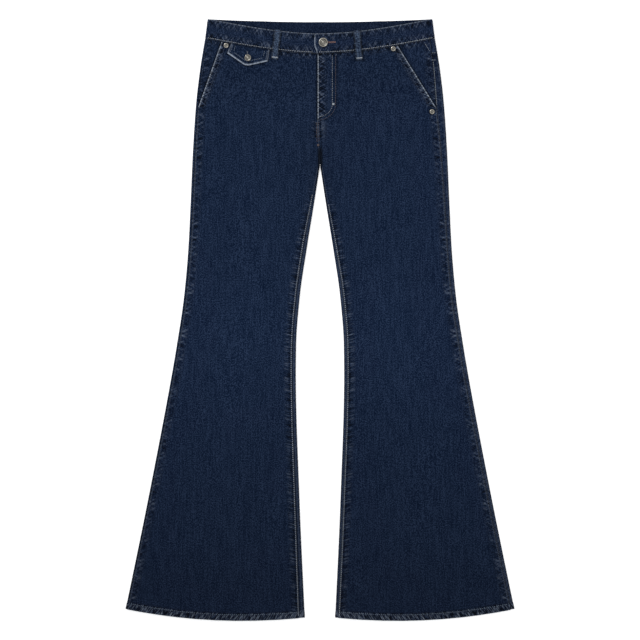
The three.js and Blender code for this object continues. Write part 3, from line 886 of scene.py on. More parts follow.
# %% Build the fronts
NEAR_INNER = [0, 0.35, 0.8, 1.4, 2.1, 2.9, 3.8, 4.8, 5.8, 6.8, 7.8, 8.8, 10, 11.5, 13.5, 16, 19]
NEAR_FLY = [22, 24.5, 26.5, 28.5, 30.5, 32.5, 35, 39, 45]
MIDDLE = [0.15, 0.3, 0.45, 0.6, 0.75, 0.88]
NEAR_OUTER = [30, 22, 16, 12, 9.5, 8, 6.8, 5.6, 4.4, 3.4, 2.5, 1.7, 1, 0.45, 0]


def panel_rows(start, near_start, first, step, hem_rows):
    """Rows of a leg panel, close together at its upper edge and at the hem."""
    leg = np.arange(start + first, LENGTH - 15, step)
    hem = np.linspace(LENGTH - 14.4, LENGTH - 1.2, hem_rows)
    return np.concatenate([start + np.array(near_start), leg, hem, LENGTH - np.array([0.8, 0.45, 0.2, 0])])


def make_front(side):
    row = panel_rows(front_band_foot(0.0) + BAND_SEAM_GAP, [0, 0.4, 0.9], 1.8, 1.8, 16)
    inner, outer = settled(front_inner_edge, side, row), settled(front_outer_edge, side, row)
    inner_part = inner[:, None] + np.array(NEAR_INNER + NEAR_FLY)
    outer_part = outer[:, None] - np.array(NEAR_OUTER)
    middle = lerp(inner_part[:, -1:], outer_part[:, :1], np.array(MIDDLE))
    x = np.concatenate([inner_part, middle, outer_part], axis=1)
    rows = np.broadcast_to(row[:, None], x.shape)
    face, wear, rim = front_point(side, x, rows)
    down = bend_front(x, rows)
    under = front_level(side, x, down) + front_drape(side, x, down) - HEM_EXTRA * (rows > LENGTH - HEM_DEPTH)
    back = on_side(side, x, down, under)
    puckers = puckered(front_seams(side, x, rows))
    return wall(f"{side}_front", f"front_cloth_{side}", face, back, wear, rim, puckers=puckers)


for side in SIDES:
    made = make_front(side)
    print(made.name, len(made.data.polygons), "faces")

# %% [markdown]
# ## The back panels and the yokes
# Each back panel is wider than its front, so the seams lie on top of the garment and the fold of the
# leg is a roll of the back panel itself. A row is drawn as one line of cloth: a strip on top, the roll
# round the outer fold, the flat part on the table, and the roll back up to the inseam.

# %% The roll of a fold
ROLL_SHARES = np.array([0, 0.03, 0.07, 0.13, 0.2, 0.28, 0.36, 0.44, 0.52, 0.6, 0.68, 0.76, 0.84, 0.92, 1])
FLAT_SHARES = np.array([0.95, 0.88, 0.8, 0.72, 0.65, 0.55, 0.45, 0.35, 0.25, 0.165, 0.12, 0.085, 0.05, 0.02])
FOLD = len(ROLL_SHARES)


def roll(edge_x, out, strip, low, high):
    """Points and inward normals on the way from the seam on top round to the floor."""
    radius = (high - low) / 2
    straight = np.where(strip > radius + 0.2, strip - radius, 0.0)
    start = np.where(strip > radius + 0.2, math.pi / 2, np.arccos(np.clip(1 - strip / radius, -1, 1)))
    s = ROLL_SHARES * (straight + radius * (start + math.pi / 2))
    on_top = s < straight
    angle = np.where(on_top, math.pi / 2, start - (s - straight) / radius)
    nx, nz = np.where(on_top, 0.0, -out * np.cos(angle)), -np.sin(angle)
    x = np.where(on_top, edge_x - out * (strip - s), edge_x - out * radius - nx * radius)
    z = np.where(on_top, high, (low + high) / 2 - nz * radius)
    return {"x": x, "z": z, "nx": nx, "nz": nz, "s": s, "strip": strip + 0 * s}


def strip_features(side, which, down, s, strip):
    """The strip of back beside a seam: a groove for each row of stitches, the rubbed roll and a painted
    shadow along the seam.
    """
    left_side = which == "outer" and side == "left"
    rows = {"inner": [strip - s - 4.6], "outer": [s - 1.5] + [strip - s - 3.0] * left_side}[which]
    ridge = ROPES["side" if which == "outer" else "inseam", side].at(down, s) * near(s, 7.0)
    dents = sum(peak(away, 0.0, GROOVE) for away in rows) * smooth(3.0, 5.5, strip)
    height = 0.16 * ridge - 0.18 * dents - rounded(s, 0.35, 0.7)
    # Painted shadow in the first 2 mm of the strip beside the seam.
    wear = 0.3 * ridge - 0.3 * dents + 0.5 * peak(strip - s, 3.2, 1.6) - 1.3 * fall(0.8, 2.2, s)
    if left_side:
        start, end = YOKE_END
        wear = wear - 1.1 * (smooth(start - 1, start + 1, down) - smooth(end - 1, end + 1, down))
    return np.array([height, wear, 0 * s])


# %% Rows of a back
def fold_downs(row):
    """How far down a row meets the outer fold, and the inner one."""
    outer, inner = (bend_to_hem(settle(half, bend_to_hem, row), row) for half in (outer_half, inner_half))
    top = row < CROTCH_DOWN
    return np.where(top, bend_to_yoke(1.0, row), outer), np.where(top, row, inner)


def back_profile(side, outer_down, inner_down, low, lift):
    """All points of the rows of a back layer, from the side seam to the inseam or the centre back."""
    outer, inner = (
        roll(read(rows, "half", down), out, read(rows, side, down), low, front_floor(down) + DENIM)
        for rows, down, out in ((OUTER, outer_down, 1), (INNER, inner_down, -1))
    )
    plain = {"x": 0.15 + 5 * ROLL_SHARES, "z": low, "nx": 0, "nz": 1, "s": 99, "strip": 0}
    rolled = inner_down > CROTCH_DOWN
    inner = {key: np.where(rolled, inner[key], plain[key])[:, ::-1] for key in inner}
    over = smooth(0.085, 0.165, FLAT_SHARES) * fall(0.72, 0.8, FLAT_SHARES)
    x = lerp(inner["x"][:, :1], outer["x"][:, -1:], FLAT_SHARES)
    flat = {"x": x, "z": low + lift * over, "nx": 0, "nz": 1, "s": 99, "strip": 0}
    return {key: np.concatenate([outer[key], flat[key] + 0 * x, inner[key]], axis=1) for key in outer}


def across_back(profile):
    """0 at the centre back and 1 from the outer fold outwards."""
    across = np.clip(profile["x"] / profile["x"][:, FOLD - 1 : FOLD], 0, 1)
    across[:, :FOLD] = 1.0
    return across


def back_faces(side, profile, down, wall_depth, height):
    """Outer and inner face of a back layer, with its relief pushed out along the cloth's own normal."""
    height = np.where(profile["nz"] > 0.3, np.minimum(height, 0.0), height)
    faces = []
    for depth in (-height, wall_depth):
        x, z = profile["x"] + profile["nx"] * depth, profile["z"] + profile["nz"] * depth
        faces.append(on_side(side, x, down, z))
    return faces


def back_features(side, profile, down, row, inner_down):
    ends = []
    for which, part in (("outer", np.s_[:, :FOLD]), ("inner", np.s_[:, -FOLD:])):
        ends.append(strip_features(side, which, down[part], profile["s"][part], profile["strip"][part]))
    plain = np.zeros((3, len(row), len(FLAT_SHARES)))
    whole = np.concatenate([ends[0], plain, ends[1] * (inner_down > CROTCH_DOWN)], axis=2)
    hem = sewn("hem", side, profile["x"], LENGTH - row + 0 * down, at_hem(row))
    height, wear, rim = joined([whole, hem])
    bleach = 0.5 + 1.6 * np.exp(-np.abs(profile["x"] - inner_half(inner_down)) / 26)
    return height, wear + at_hem(row) * bleach, rim


# %% Build the back legs
def make_back(side):
    row = panel_rows(YOKE_CENTRE_DOWN + SEAM_GAP / 2, [0, 0.5], 1.0, 2.0, 14)[:, None]
    outer_down, inner_down = fold_downs(row)
    lift = UNDER_LIFT * smooth(106, 120, row) * fall(292, 308, row)
    profile = back_profile(side, outer_down, inner_down, 0 * row, lift)
    lower = bend_to_hem(profile["x"], row)
    lower[:, :FOLD], lower[:, -FOLD:] = outer_down, inner_down
    down = np.where(row < CROTCH_DOWN, bend_to_yoke(across_back(profile), row), lower)
    height, wear, rim = back_features(side, profile, down, row, inner_down)
    depth = DENIM + HEM_EXTRA * (row > LENGTH - HEM_DEPTH)
    face, back = back_faces(side, profile, down, depth, height)
    outer = np.arange(down.shape[1]) < FOLD
    seams = [
        ("side", down, profile["s"], 0.6 * outer),
        ("inseam", down, profile["s"], 0.3 * ~outer),
        ("hem", profile["x"], LENGTH - row + 0 * down, at_hem(row)),
    ]
    return wall(f"{side}_back", f"back_cloth_{side}", face, back, wear, rim, puckers=puckered(seams))


# %% Build the yokes
def make_yoke(side):
    share = np.concatenate([[0, 0.01], np.linspace(0.04, 0.97, 24), [0.99, 1]])[:, None]
    foot = yoke_line(1.0) - SEAM_GAP / 2
    low = UNDER_LIFT * (1 - np.clip((share - 0.4) / 0.6, 0, 1))
    profile = back_profile(side, lerp(BAND_HEIGHT, foot, share), 0 * share, low, 0 * share)
    x = profile["x"]
    band_foot = np.where(profile["nz"] < 0, front_band_foot(x), back_band_foot(x))
    down = lerp(band_foot + SEAM_GAP, yoke_line(across_back(profile)) - SEAM_GAP / 2, share)
    height, wear, rim = back_features(side, profile, down, share, 0 * share)
    away = np.minimum(share, 1 - share) * (foot - BAND_HEIGHT) + 0 * x
    face, back = back_faces(side, profile, down, DENIM, height - rounded(away, 0.3, 0.7))
    wear = wear - 0.12 * fall(0.4, 2.0, away)
    return wall(f"{side}_yoke", f"yoke_cloth_{side}", face, back, wear, rim)


for side in SIDES:
    print(make_back(side).name)
for side in SIDES:
    print(make_yoke(side).name)

# %% [markdown]
# ## Behind the pocket mouths
# The hip facing is the piece of denim that shows past the slant edge of a pocket. It starts under the
# front and climbs to the same height at the side seam, so the mouth of the pocket casts a thin shadow,
# which is also painted on the facing.

# %% Hip facings
FACING_UNDER = 18.0
FACING_FOOT = 173.0
FACING_ROWS = np.concatenate([[0, 0.004, 0.01], np.linspace(0.02, 1, 64)])
FACING_MIDDLE = np.array([0, 0.04, 0.08, 0.12, 0.17, 0.23, 0.3, 0.38, 0.46, 0.54, 0.62, 0.7, 0.78, 0.84])
FACING_NEAR_SEAM = np.array([0.2, 0.4, 0.6, 0.75, 0.87, 0.95, 1])


def facing_level(side, x, down):
    return front_floor(down) - UNDER_LIFT * fall(2, 16, x - pocket_mouth(side, down))


def facing_point(side, x, down):
    outside = (x - pocket_mouth(side, down)) * MOUTH_SQUARE[side]
    from_band = down - front_band_foot(x) - SEAM_GAP
    at_side = side_seam(side, down) - SEAM_GAP - x
    seams = [("side", down, at_side, 1.0), ("band", x, np.maximum(from_band, 0), 1.0)]
    height, wear, rim = joined([sewn(seam, side, *rest) for seam, *rest in seams])
    # Painted shadow on the facing along the pocket mouth and under the band.
    shadow = 1.2 * fall(1.0, 4.4, outside) + 0.9 * fall(0.8, 3.4, from_band)
    level = facing_level(side, x, down) + height * smooth(0, 5, outside)
    return level, wear - shadow, rim * 0.5, puckered(seams)


def make_facing(side):
    def bend(x, share):
        return lerp(front_band_foot(x) + SEAM_GAP, FACING_FOOT, share)

    edges = (lambda down: side_seam(side, down) - SEAM_GAP), (lambda down: pocket_mouth(side, down) - 1)
    seam, mouth = (settle(edge, bend, FACING_ROWS)[:, None] for edge in edges)
    mouth = np.minimum(mouth, seam - 3)
    hidden = mouth + 1 - FACING_UNDER + np.array([0, 6, 12])
    middle = lerp(mouth, seam, FACING_MIDDLE)
    x = np.concatenate([hidden, middle, lerp(middle[:, -1:], seam, FACING_NEAR_SEAM)], axis=1)
    down = bend(x, FACING_ROWS[:, None])
    level, wear, rim, puckers = facing_point(side, x, down)
    face, back = (on_side(side, x, down, z) for z in (level + DENIM, facing_level(side, x, down)))
    return wall(f"{side}_hip_facing", f"facing_cloth_{side}", face, back, wear, rim, puckers=puckers)


print([make_facing(side).name for side in SIDES])

# %% [markdown]
# ## The waistband
# The band is one long closed tube of cloth, pressed flat. It is drawn as a path seen from the waist: over
# the front, round the hip, along the back and round again to end under the lapped end. Two rows of
# stitches hold it, about 2 mm from its upper and its lower edge, and its edges rub pale first of all.

# %% Band path
LAP_END = -10.2
LAP_FOOT_IN = 4.3
UNDERLAP_END = 30.0
LAP_RAMP = (UNDERLAP_END + 4, UNDERLAP_END + 17)
LAP_LEVEL = FRONT_BAND_LEVEL + BAND_WALL + 0.3
BAND_STEP = 1.7
BAND_RADIUS = (FRONT_BAND_LEVEL + BAND_WALL) / 2
BACK_LOOPS = {"right": -104.0, "centre": 0.0, "left": 104.0}


def steps(start, end, step):
    return np.linspace(start, end, max(2, int(round(abs(end - start) / step)) + 1))


def band_path():
    """One row for each place along the band: x, z, the inward normal, and whether it is in front."""
    rolled = BAND_HALF_TOP - BAND_RADIUS
    lap_x = LAP_END + np.array([0, 0.3, 0.7])
    lap = steps(LAP_END + 1.2, LAP_RAMP[0], 1.4)
    front = np.concatenate([lap_x, lap, steps(LAP_RAMP[0], rolled, BAND_STEP)[1:]])
    front_z = np.interp(front, LAP_RAMP, [LAP_LEVEL, FRONT_BAND_LEVEL])
    back = steps(rolled, -rolled, 3.0)
    lift = sum(fall(7.5, 15, np.abs(back - place)) for place in BACK_LOOPS.values())
    right = steps(-rolled, UNDERLAP_END, BAND_STEP)
    hips = []
    for out in (1, -1):
        angle = out * np.linspace(math.pi / 2, -math.pi / 2, 12)[1:-1]
        nx, nz = -out * np.cos(angle), -np.sin(angle)
        hips.append((out * rolled - nx * BAND_RADIUS, BAND_RADIUS - nz * BAND_RADIUS, nx, nz, nz < 0))
    parts = [
        (front, front_z + BAND_WALL, 0, -1, 1),
        hips[0],
        (back, UNDER_LIFT * lift, 0, 1, 0),
        hips[1],
        (right, FRONT_BAND_LEVEL + BAND_WALL, 0, -1, 1),
    ]
    return np.concatenate([np.stack(np.broadcast_arrays(*part), axis=-1) for part in parts])


def band_lengths(x, z):
    """How far each row of the path lies along the band."""
    return np.concatenate([[0], np.cumsum(np.hypot(np.diff(x), np.diff(z)))])


# %% Band features
BAND_ROPES = [Rope(61, 900, 9.0, 1.9, 0.5, True), Rope(62, 900, 8.0, 1.8, 0.5, True)]
BAND_SHARES = np.array([0, 0.012, 0.03, 0.055, 0.08, 0.11, 0.16, 0.23, 0.31, 0.4, 0.5])


def band_features(s, high, from_end):
    """Puckers of both edges, the two stitched grooves, and the pale upper and lower rims."""
    parts = []
    for rope, away, pale in zip(BAND_ROPES, (high, BAND_HEIGHT - high), (0.75, 0.1)):
        away = np.maximum(away, 0)
        ridge = rope.at(s, away) * rope.fade(s, away, 15.0) * smooth(0.2, 1.4, away)
        dent = peak(away, 2.3, GROOVE)
        height = 0.3 * ridge - 0.2 * dent - rounded(away, 0.5, 1.0)
        parts.append(np.array([height, 0.4 * ridge - 0.3 * dent, pale * fall(0.4, 1.4, away)]))
    dent = peak(from_end, 2.3, GROOVE)
    height = -0.2 * dent - rounded(from_end, 0.5, 1.0)
    parts.append(np.array([height, -0.1 * dent, fall(0.8, 1.7, from_end)]))
    return joined(parts)


def band_place(path_x, front, share, cut):
    """Where a place along the band and across it lies: x and down."""
    top = np.where(front, front_band_top(path_x), back_band_top(path_x))
    return path_x * (1 + BAND_FLARE * share), lerp(top + cut, top + BAND_HEIGHT, share)


# %% Build the band
def make_band():
    x, z, nx, nz, front = band_path().T
    s = band_lengths(x, z)
    is_lap = np.arange(len(x)) < np.argmax(x > LAP_RAMP[1])
    share = np.concatenate([BAND_SHARES, 1 - BAND_SHARES[-2::-1]])[:, None]
    corner = np.interp(x, LAP_END + np.array([0, 0.5, 1.2, 4]), [4.0, 2.2, 1.2, 0.0])
    cut = np.where(is_lap, corner, 0.0)
    high = share * (BAND_HEIGHT - cut)
    from_end = np.where(is_lap, x - LAP_END, 99.0) + 0 * share
    height, wear, rim = band_features(s + 0 * share, high, from_end)
    height = np.where(nz < 0.3, height, np.minimum(height, 0))
    foot_in = np.where(is_lap, LAP_FOOT_IN * smooth(0.5, 1.0, share) * fall(LAP_END, 12, x), 0.0)
    down_x, down = band_place(x[None, :] + foot_in, front > 0, share, cut)
    flare = 1 + BAND_FLARE * share
    face_x = down_x - nx * height * flare
    face = to_frame(face_x, down, z - nz * height)
    back = to_frame(down_x + nx * BAND_WALL * flare, down, z + nz * BAND_WALL)
    # Painted shadow beside the front loops.
    wear = wear - loop_shadow(face_x, down) * (front > 0)
    edges = [("waist", s + 0 * share, high, 1.0), ("waist", s + 500 + 0 * share, BAND_HEIGHT - high, 1.0)]
    puckers = puckered(edges)
    # The band's inner face gets painted shade (inside=-0.5), where it shows between the front and the back
    # of the band.
    return wall("waistband", "waistband_cloth", face, back, wear, rim * 0.9, inside=-0.5, puckers=puckers)


print(make_band().name)

# %% [markdown]
# ## Belt loops
# A belt loop is a narrow tube of denim, stitched along both edges and fixed by a dense bar of thread at
# its top and its foot. It stands highest over the band and steps down on to the front below it.

# %% Loops
LOOP_WALL = 1.0
BACK_LOOP_DROP = 0.8
LOOP_STITCHES = (2.4, LOOP_WIDTH - 2.4)
LOOP_ROPE = Rope(71, 120, 5.0, 1.3)
LOOP_EDGE = np.array([0, 0.35, 0.8, 1.4, 1.9, 2.4, 2.9, 3.6, 4.8, 6.2])
LOOP_END = np.array([0, 0.5, 1.1])


def loop_place(side, along, across):
    """Where a place on a front loop lies, with across measured from its left edge."""
    top_x, foot_x = FRONT_LOOPS[side]
    turn = math.atan2(foot_x - top_x, LOOP_LENGTH)
    sideways = across - LOOP_WIDTH / 2
    start = front_band_top(top_x) - LOOP_PROUD
    x = top_x + along * math.sin(turn) + sideways * math.cos(turn)
    return x, start + along * math.cos(turn) - sideways * math.sin(turn)


def loop_level(side, x, down, along):
    on_band = FRONT_BAND_LEVEL + BAND_WALL + 0.5
    on_front = front_level(side, np.abs(x), down) + DENIM + 0.3
    return lerp(on_band, on_front, smooth(BAND_HEIGHT + 3.5, BAND_HEIGHT + 8, along))


def loop_features(along, across):
    edge, end = np.minimum(across, LOOP_WIDTH - across), np.minimum(along, LOOP_LENGTH - along)
    ridge = LOOP_ROPE.at(along + 30 * (across > 6), edge) * near(edge, 6)
    dents = grooves(edge, LOOP_STITCHES[:1])
    height = 0.3 * ridge - 0.2 * dents - 0.35 * peak(end, 3.4, 1.3)
    height = height - rounded(edge, 0.4, 1.0) - rounded(end, 0.4, 1.0)
    height = height + 0.25 * np.cos((across / LOOP_WIDTH - 0.5) * math.pi)
    # Painted shade along both sides of the loop.
    wear = 2.6 * ridge - 1.8 * peak(edge, 0.9, 0.9) - 0.5 * dents
    return height, wear, 0.15 * fall(0.3, 1.2, np.minimum(edge, end))


def make_loop(where, side):
    middle = np.linspace(2, LOOP_LENGTH - 2, 36)
    along = np.concatenate([LOOP_END, middle, LOOP_LENGTH - LOOP_END[::-1]])[:, None]
    across = np.concatenate([LOOP_EDGE, LOOP_WIDTH - LOOP_EDGE[-2::-1]])
    height, wear, rim = loop_features(along, across)
    if where == "front":
        x, down = loop_place(side, along, across)
        level = loop_level(side, x, down, along)
        levels = (level + LOOP_WALL + height, level)
    else:
        x = BACK_LOOPS[side] + across - LOOP_WIDTH / 2
        down = back_band_top(BACK_LOOPS[side]) + BACK_LOOP_DROP + along * 0.96
        levels = (-np.minimum(height, 0), LOOP_WALL + 0 * height)
    face, back = (to_frame(x, down, level) for level in levels)
    node = f"loop_{where}_{side}"
    return wall(node, f"{node}_cloth", face, back, wear, rim, "worn_denim")


loops = [make_loop("front", side) for side in FRONT_LOOPS] + [make_loop("back", side) for side in BACK_LOOPS]
print([piece.name for piece in loops])

# %% [markdown]
# ## The ticket flap
# The flap hangs from the band on the wearer's right and closes over a small watch pocket. Its edge is
# turned and stitched twice, so it is thick, and it rubs pale along its lower edges.

# %% Flap
FLAP_WALL = 1.4
FLAP_STITCHES = (2.2, 7.4)
FLAP_ROPE = Rope(81, 200, 6.0, 1.4, 0.5, True)


def flap_edge(share):
    """The flap's lower edge, with its corners eased, at shares of its length."""
    corners = np.linspace(0, 1, len(FLAP_CORNERS["x"]))
    spread = 0.02 * np.linspace(-1, 1, 5) * (np.minimum(share, 1 - share)[..., None] > 0.02)
    places = np.clip(share[..., None] + spread, 0, 1)
    return [np.interp(places, corners, FLAP_CORNERS[key]).mean(-1) for key in ("x", "down")]


def flap_place(share, depth):
    top_x = lerp(*FLAP_TOP, share)
    foot_x, foot_down = flap_edge(share)
    return lerp(top_x, foot_x, depth), lerp(front_band_foot(top_x) + SEAM_GAP, foot_down, depth)


def flap_point(share, depth):
    """A point of the outer face, the one behind it, how it is worn, and the painted shadow under the band.
    """
    x, down = flap_place(share, depth)
    below = np.maximum((flap_place(share, np.ones_like(depth))[1] - down) * 0.86, 0)
    ends = [lerp(top, foot, depth) for top, foot in zip(FLAP_TOP, FLAP_CORNERS["x"][[0, -1]])]
    edge = np.minimum(below, np.maximum(np.minimum(x - ends[0], ends[1] - x), 0))
    ridge = FLAP_ROPE.at(x + 170, edge) * near(edge, 8)
    dents = grooves(edge, FLAP_STITCHES)
    height = 0.3 * ridge - 0.2 * dents - rounded(edge, 0.6, 1.2)
    # Painted shadow across the top of the flap, under the band's foot.
    wear = 1.8 * ridge - 0.4 * dents - 1.2 * fall(0.02, 0.14, depth) - 0.1
    rim = 1.3 * fall(1.4, 2.6, edge) * (0.25 + 0.75 * (below == edge))
    level = front_floor(down) + DENIM + 0.5
    return to_frame(x, down, level + FLAP_WALL + height), to_frame(x, down, level), wear, rim


share = np.concatenate([[0, 0.006, 0.014], np.linspace(0.025, 0.975, 60), [0.986, 0.994, 1]])[None, :]
depth = np.concatenate([np.linspace(0, 0.9, 20), [0.93, 0.95, 0.965, 0.98, 0.99, 1]])[:, None]
print(wall("ticket_flap", "ticket_flap_cloth", *flap_point(share + 0 * depth, depth + 0 * share)).name)

# %% [markdown]
# ## Patch pockets and the fly's hidden pieces
# Behind, each leg has a patch pocket between the floor and the raised cloth. Behind the fly lie the zip's
# tape and a shield of denim. They are seen only from below or through the fly, so they stay simple, but
# they get the same cloth.

# %% Back pockets
POCKET_SIZE = (110.0, 145.0)
POCKET_STITCHES = (2.2, 8.4)


def pocket_place(across, along):
    """A place on the patch: across from its inner side, along from its mouth to its point."""
    foot_x, foot_down = (np.interp(across, [0, 0.53, 1], foot) for foot in ([51, 106, 155], [262, 286, 258]))
    return lerp(lerp(44.0, 162.0, across), foot_x, along), lerp(lerp(128.0, 118.0, across), foot_down, along)


def make_pocket(side):
    across = np.concatenate([[0, 0.005, 0.012], np.linspace(0.02, 0.98, 44), [0.988, 0.995, 1]])[None, :]
    along = np.concatenate([[0, 0.004, 0.01], np.linspace(0.02, 0.98, 60), [0.99, 0.996, 1]])[:, None]
    x, down = pocket_place(across, along)
    to_edges = [np.minimum(share, 1 - share) * size for share, size in zip((across, along), POCKET_SIZE)]
    edge = np.minimum(*to_edges)
    ridge = ROPES["pocket", side].at(down + x, edge) * near(edge, 10)
    dents = grooves(edge, POCKET_STITCHES)
    sunk = 0.2 * dents + rounded(edge, 0.3, 0.8) + 0.1 * np.maximum(-ridge, 0)
    face, back = (on_side(side, x, down, z) for z in (np.minimum(sunk, 0.5), DENIM))
    name = f"{side}_back_pocket"
    return wall(name, f"{name}_cloth", face, back, 2.4 * ridge - 0.3 * dents, fall(0.4, 1.2, edge))


# %% Fly shield and zip tape
def make_strip(node, name, from_x, to_x, last_down, below, slot="denim"):
    across = np.linspace(0, 1, 14)
    down = lerp(front_band_foot(0.0) + SEAM_GAP, last_down, np.linspace(0, 1, 60)[:, None]) + 0 * across
    edge = np.minimum(across, 1 - across) * abs(to_x - from_x)
    level = front_floor(down) - below
    levels = (level + DENIM - rounded(edge, 0.3, 0.8), level)
    face, back = (to_frame(lerp(from_x, to_x, across), down, z) for z in levels)
    return wall(node, name, face, back, 0 * down - 0.2, 0 * down, slot)


strip_end, tape_start = FLY_EDGE + FLY_WIDTH, FLY_EDGE + UNDERLAP + SEAM_GAP / 2
pieces = [make_pocket(side) for side in SIDES] + [
    make_strip("fly_shield", "fly_shield_cloth", FLY_EDGE - 8, strip_end, FLY_END_DOWN - 3, UNDER_LIFT),
    make_strip("fly_zip", "zip_tape_cloth", tape_start, strip_end - 6, 164, 0.0, "zip_tape"),
]
print([piece.name for piece in pieces])

# %% [markdown]
# ## Thread
# Topstitching is thick thread that lies on the cloth for 3 mm, dives through it and comes up again. Each
# stitch here is a small capsule of its own that follows the surface, so it catches light and throws a
# shadow. All stitches of one kind are joined into one mesh, to keep the number of pieces small.

# %% Stitch mesh
THREADS = {}


def capsule_faces():
    """Triangles of one thread of 20 points: a tip, three rings of six and another tip."""
    ring = np.arange(6)
    after = (ring + 1) % 6
    corners = [(0 * ring, 1 + ring, 1 + after)]
    for k in (1, 7):
        corners += [(k + ring, k + 6 + ring, k + 6 + after), (k + ring, k + 6 + after, k + after)]
    corners.append((13 + ring, 0 * ring + 19, 13 + after))
    return np.transpose(corners, (0, 2, 1)).reshape(-1, 3)


def unit(vectors):
    return vectors / np.linalg.norm(vectors, axis=-1, keepdims=True)


def stitches_along(points, pitch, length):
    """Start, middle and end of each stitch on a line of close points."""
    s = np.concatenate([[0], np.cumsum(np.linalg.norm(np.diff(points, axis=0), axis=1))])
    count = max(1, int((s[-1] - length) / pitch))
    first = (s[-1] - (count - 1) * pitch - length) / 2 + np.arange(count) * pitch
    places = [first + length * part for part in (0.0, 0.5, 1.0)]
    return [np.stack([np.interp(place, s, axis) for axis in points.T], axis=-1) for place in places]


def capsules(group, start, middle, end, up, width, height):
    """Adds a thread to a group for each row of start, middle and end."""
    along = unit(end - start)
    side = unit(np.cross(along, up))
    rise = np.cross(side, along)
    angle = np.arange(6)[:, None] * math.pi / 3
    around = np.cos(angle) * side[:, None] * width / 2 + np.sin(angle) * rise[:, None] * height / 2
    near_start, near_end = start + along * 0.25 - rise * 0.08, end - along * 0.25 - rise * 0.08
    rings = [(start - rise * 0.2)[:, None]]
    for centre, size in ((near_start, 0.72), (middle + rise * 0.1, 1.0), (near_end, 0.72)):
        rings.append(centre[:, None] + around * size)
    rings.append((end - rise * 0.2)[:, None])
    THREADS.setdefault(group, []).append(np.concatenate(rings, axis=1))


def sew(group, points, up=(0, 0, 1), pitch=3.3, length=2.75, width=0.8, height=0.5):
    """Adds a row of stitches to a group."""
    capsules(group, *stitches_along(points, pitch, length), up, width, height)


def sew_below(group, x, down, level=0.2):
    """Adds a row on the side of the garment that lies on the table."""
    sew(group, to_frame(x, down, level), up=(0, 0, -1), height=0.4)


def satin(group, first, last, direction, reach, pitch=0.62):
    """Adds threads laid side by side from one point to another, as in a bartack or a buttonhole."""
    count = max(2, int(np.linalg.norm(np.subtract(last, first)) / pitch))
    places = np.linspace(first, last, count)
    half = unit(np.array(direction, float)) * reach / 2
    capsules(group, places - half, places, places + half, (0, 0, 1), 0.7, 0.6)


def finish_thread(group):
    """Joins a group's capsules into one mesh."""
    points = np.concatenate(THREADS[group])
    faces = capsule_faces() + np.arange(len(points))[:, None, None] * points.shape[1]
    piece = make_mesh(group, points.reshape(-1, 3), faces.reshape(-1, 3))
    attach(piece, "root")
    return piece


# %% [markdown]
# ## Where the rows of stitches run
# A row of stitches is given by the seam that it follows and its distance from it. The same functions
# that shaped the cloth say how high the thread lies.

# %% Rows on the legs
INSEAM_BRIGHT = {"right": 318.0, "left": 335.0}
HEM_ROW = LENGTH - SEAMS["hem"]["rows"][0]
LIFT = np.array([0, 0, 0.12])


def sew_front(side, x, row, group="thread_front", **how):
    sew(group, front_point(side, x, row)[0] + LIFT, **how)


def row_at(x, down):
    """The panel row that passes through a place."""
    row = np.array(down, float)
    for _ in range(14):
        row = row + (down - bend_front(x, row))
    return row


def sew_strip(side, which, row, place):
    """A row on the strip of back, at a distance from its seam given for each row."""
    rows, out, down = (OUTER, 1, fold_downs(row)[0]) if which == "outer" else (INNER, -1, fold_downs(row)[1])
    strip = read(rows, side, down)
    s = place(strip)
    x = read(rows, "half", down) - out * (strip - s)
    height = strip_features(side, which, down, s, strip)[0]
    sew("thread_strips", on_side(side, x, down, front_floor(down) + DENIM + height) + LIFT)


def sew_leg(side):
    leg = np.arange(CROTCH_DOWN + 3, LENGTH - 1, 0.8)
    seam_x = settled(front_inner_edge, side, leg) + SEAMS["inseam"]["rows"][0]
    bright = leg > INSEAM_BRIGHT[side]
    sew_front(side, seam_x[bright], leg[bright], "thread_inseam", pitch=3.66, length=2.3, width=0.95)
    sew_front(side, seam_x[~bright], leg[~bright])
    foot = POCKET_MOUTH[side]["foot"][1]
    below = np.arange(foot + 4, LENGTH - 1, 0.8)
    sew_front(side, settled(front_outer_edge, side, below) - SEAMS["side"]["rows"][0] * 1.02, below)
    mouth = np.arange(front_band_foot(160.0) + 3, foot - 1, 0.5)
    for away in SEAMS["pocket"]["rows"]:
        x = pocket_mouth(side, mouth) - away / MOUTH_SQUARE[side]
        keep = mouth > front_band_foot(x) + 2
        sew_front(side, x[keep], row_at(x[keep], mouth[keep]))
    ends = [settled(edge, side, np.array([HEM_ROW]))[0] for edge in (front_inner_edge, front_outer_edge)]
    across = np.arange(ends[0] + 1, ends[1] - 1, 0.8)
    sew_front(side, across, HEM_ROW + 0 * across, "thread_hem", pitch=3.66, length=2.1, width=0.7)


for side in SIDES:
    sew_leg(side)
    sew_strip(side, "inner", np.arange(CROTCH_DOWN + 55, LENGTH - 2, 0.8), lambda strip: strip - 4.6)
for place in (lambda strip: 1.5 + 0 * strip, lambda strip: strip - 3.0):
    sew_strip("left", "outer", np.arange(110.0, LENGTH - 2, 0.8), place)


# %% Rows round the left hip
def sew_hip(x, down, level, width):
    sew("thread_side_upper", to_frame(x, down, level + DENIM), width=width)


hip_rows = np.arange(YOKE_END[1] + 1, 160.0, 0.6)
sew_hip(side_seam("left", hip_rows) + 1.2, hip_rows, front_floor(hip_rows) + 0.15, 0.6)
slant_x, slant_down = np.linspace((190.6, 43.0), (202.5, YOKE_END[0]), 40).T
sew_hip(slant_x, slant_down, facing_point("left", slant_x, slant_down)[0] + 0.12, 0.6)
for end_down in YOKE_END:
    sew_hip(np.linspace(202.5, 213.5, 30), end_down, front_floor(end_down) + 0.2, 0.7)

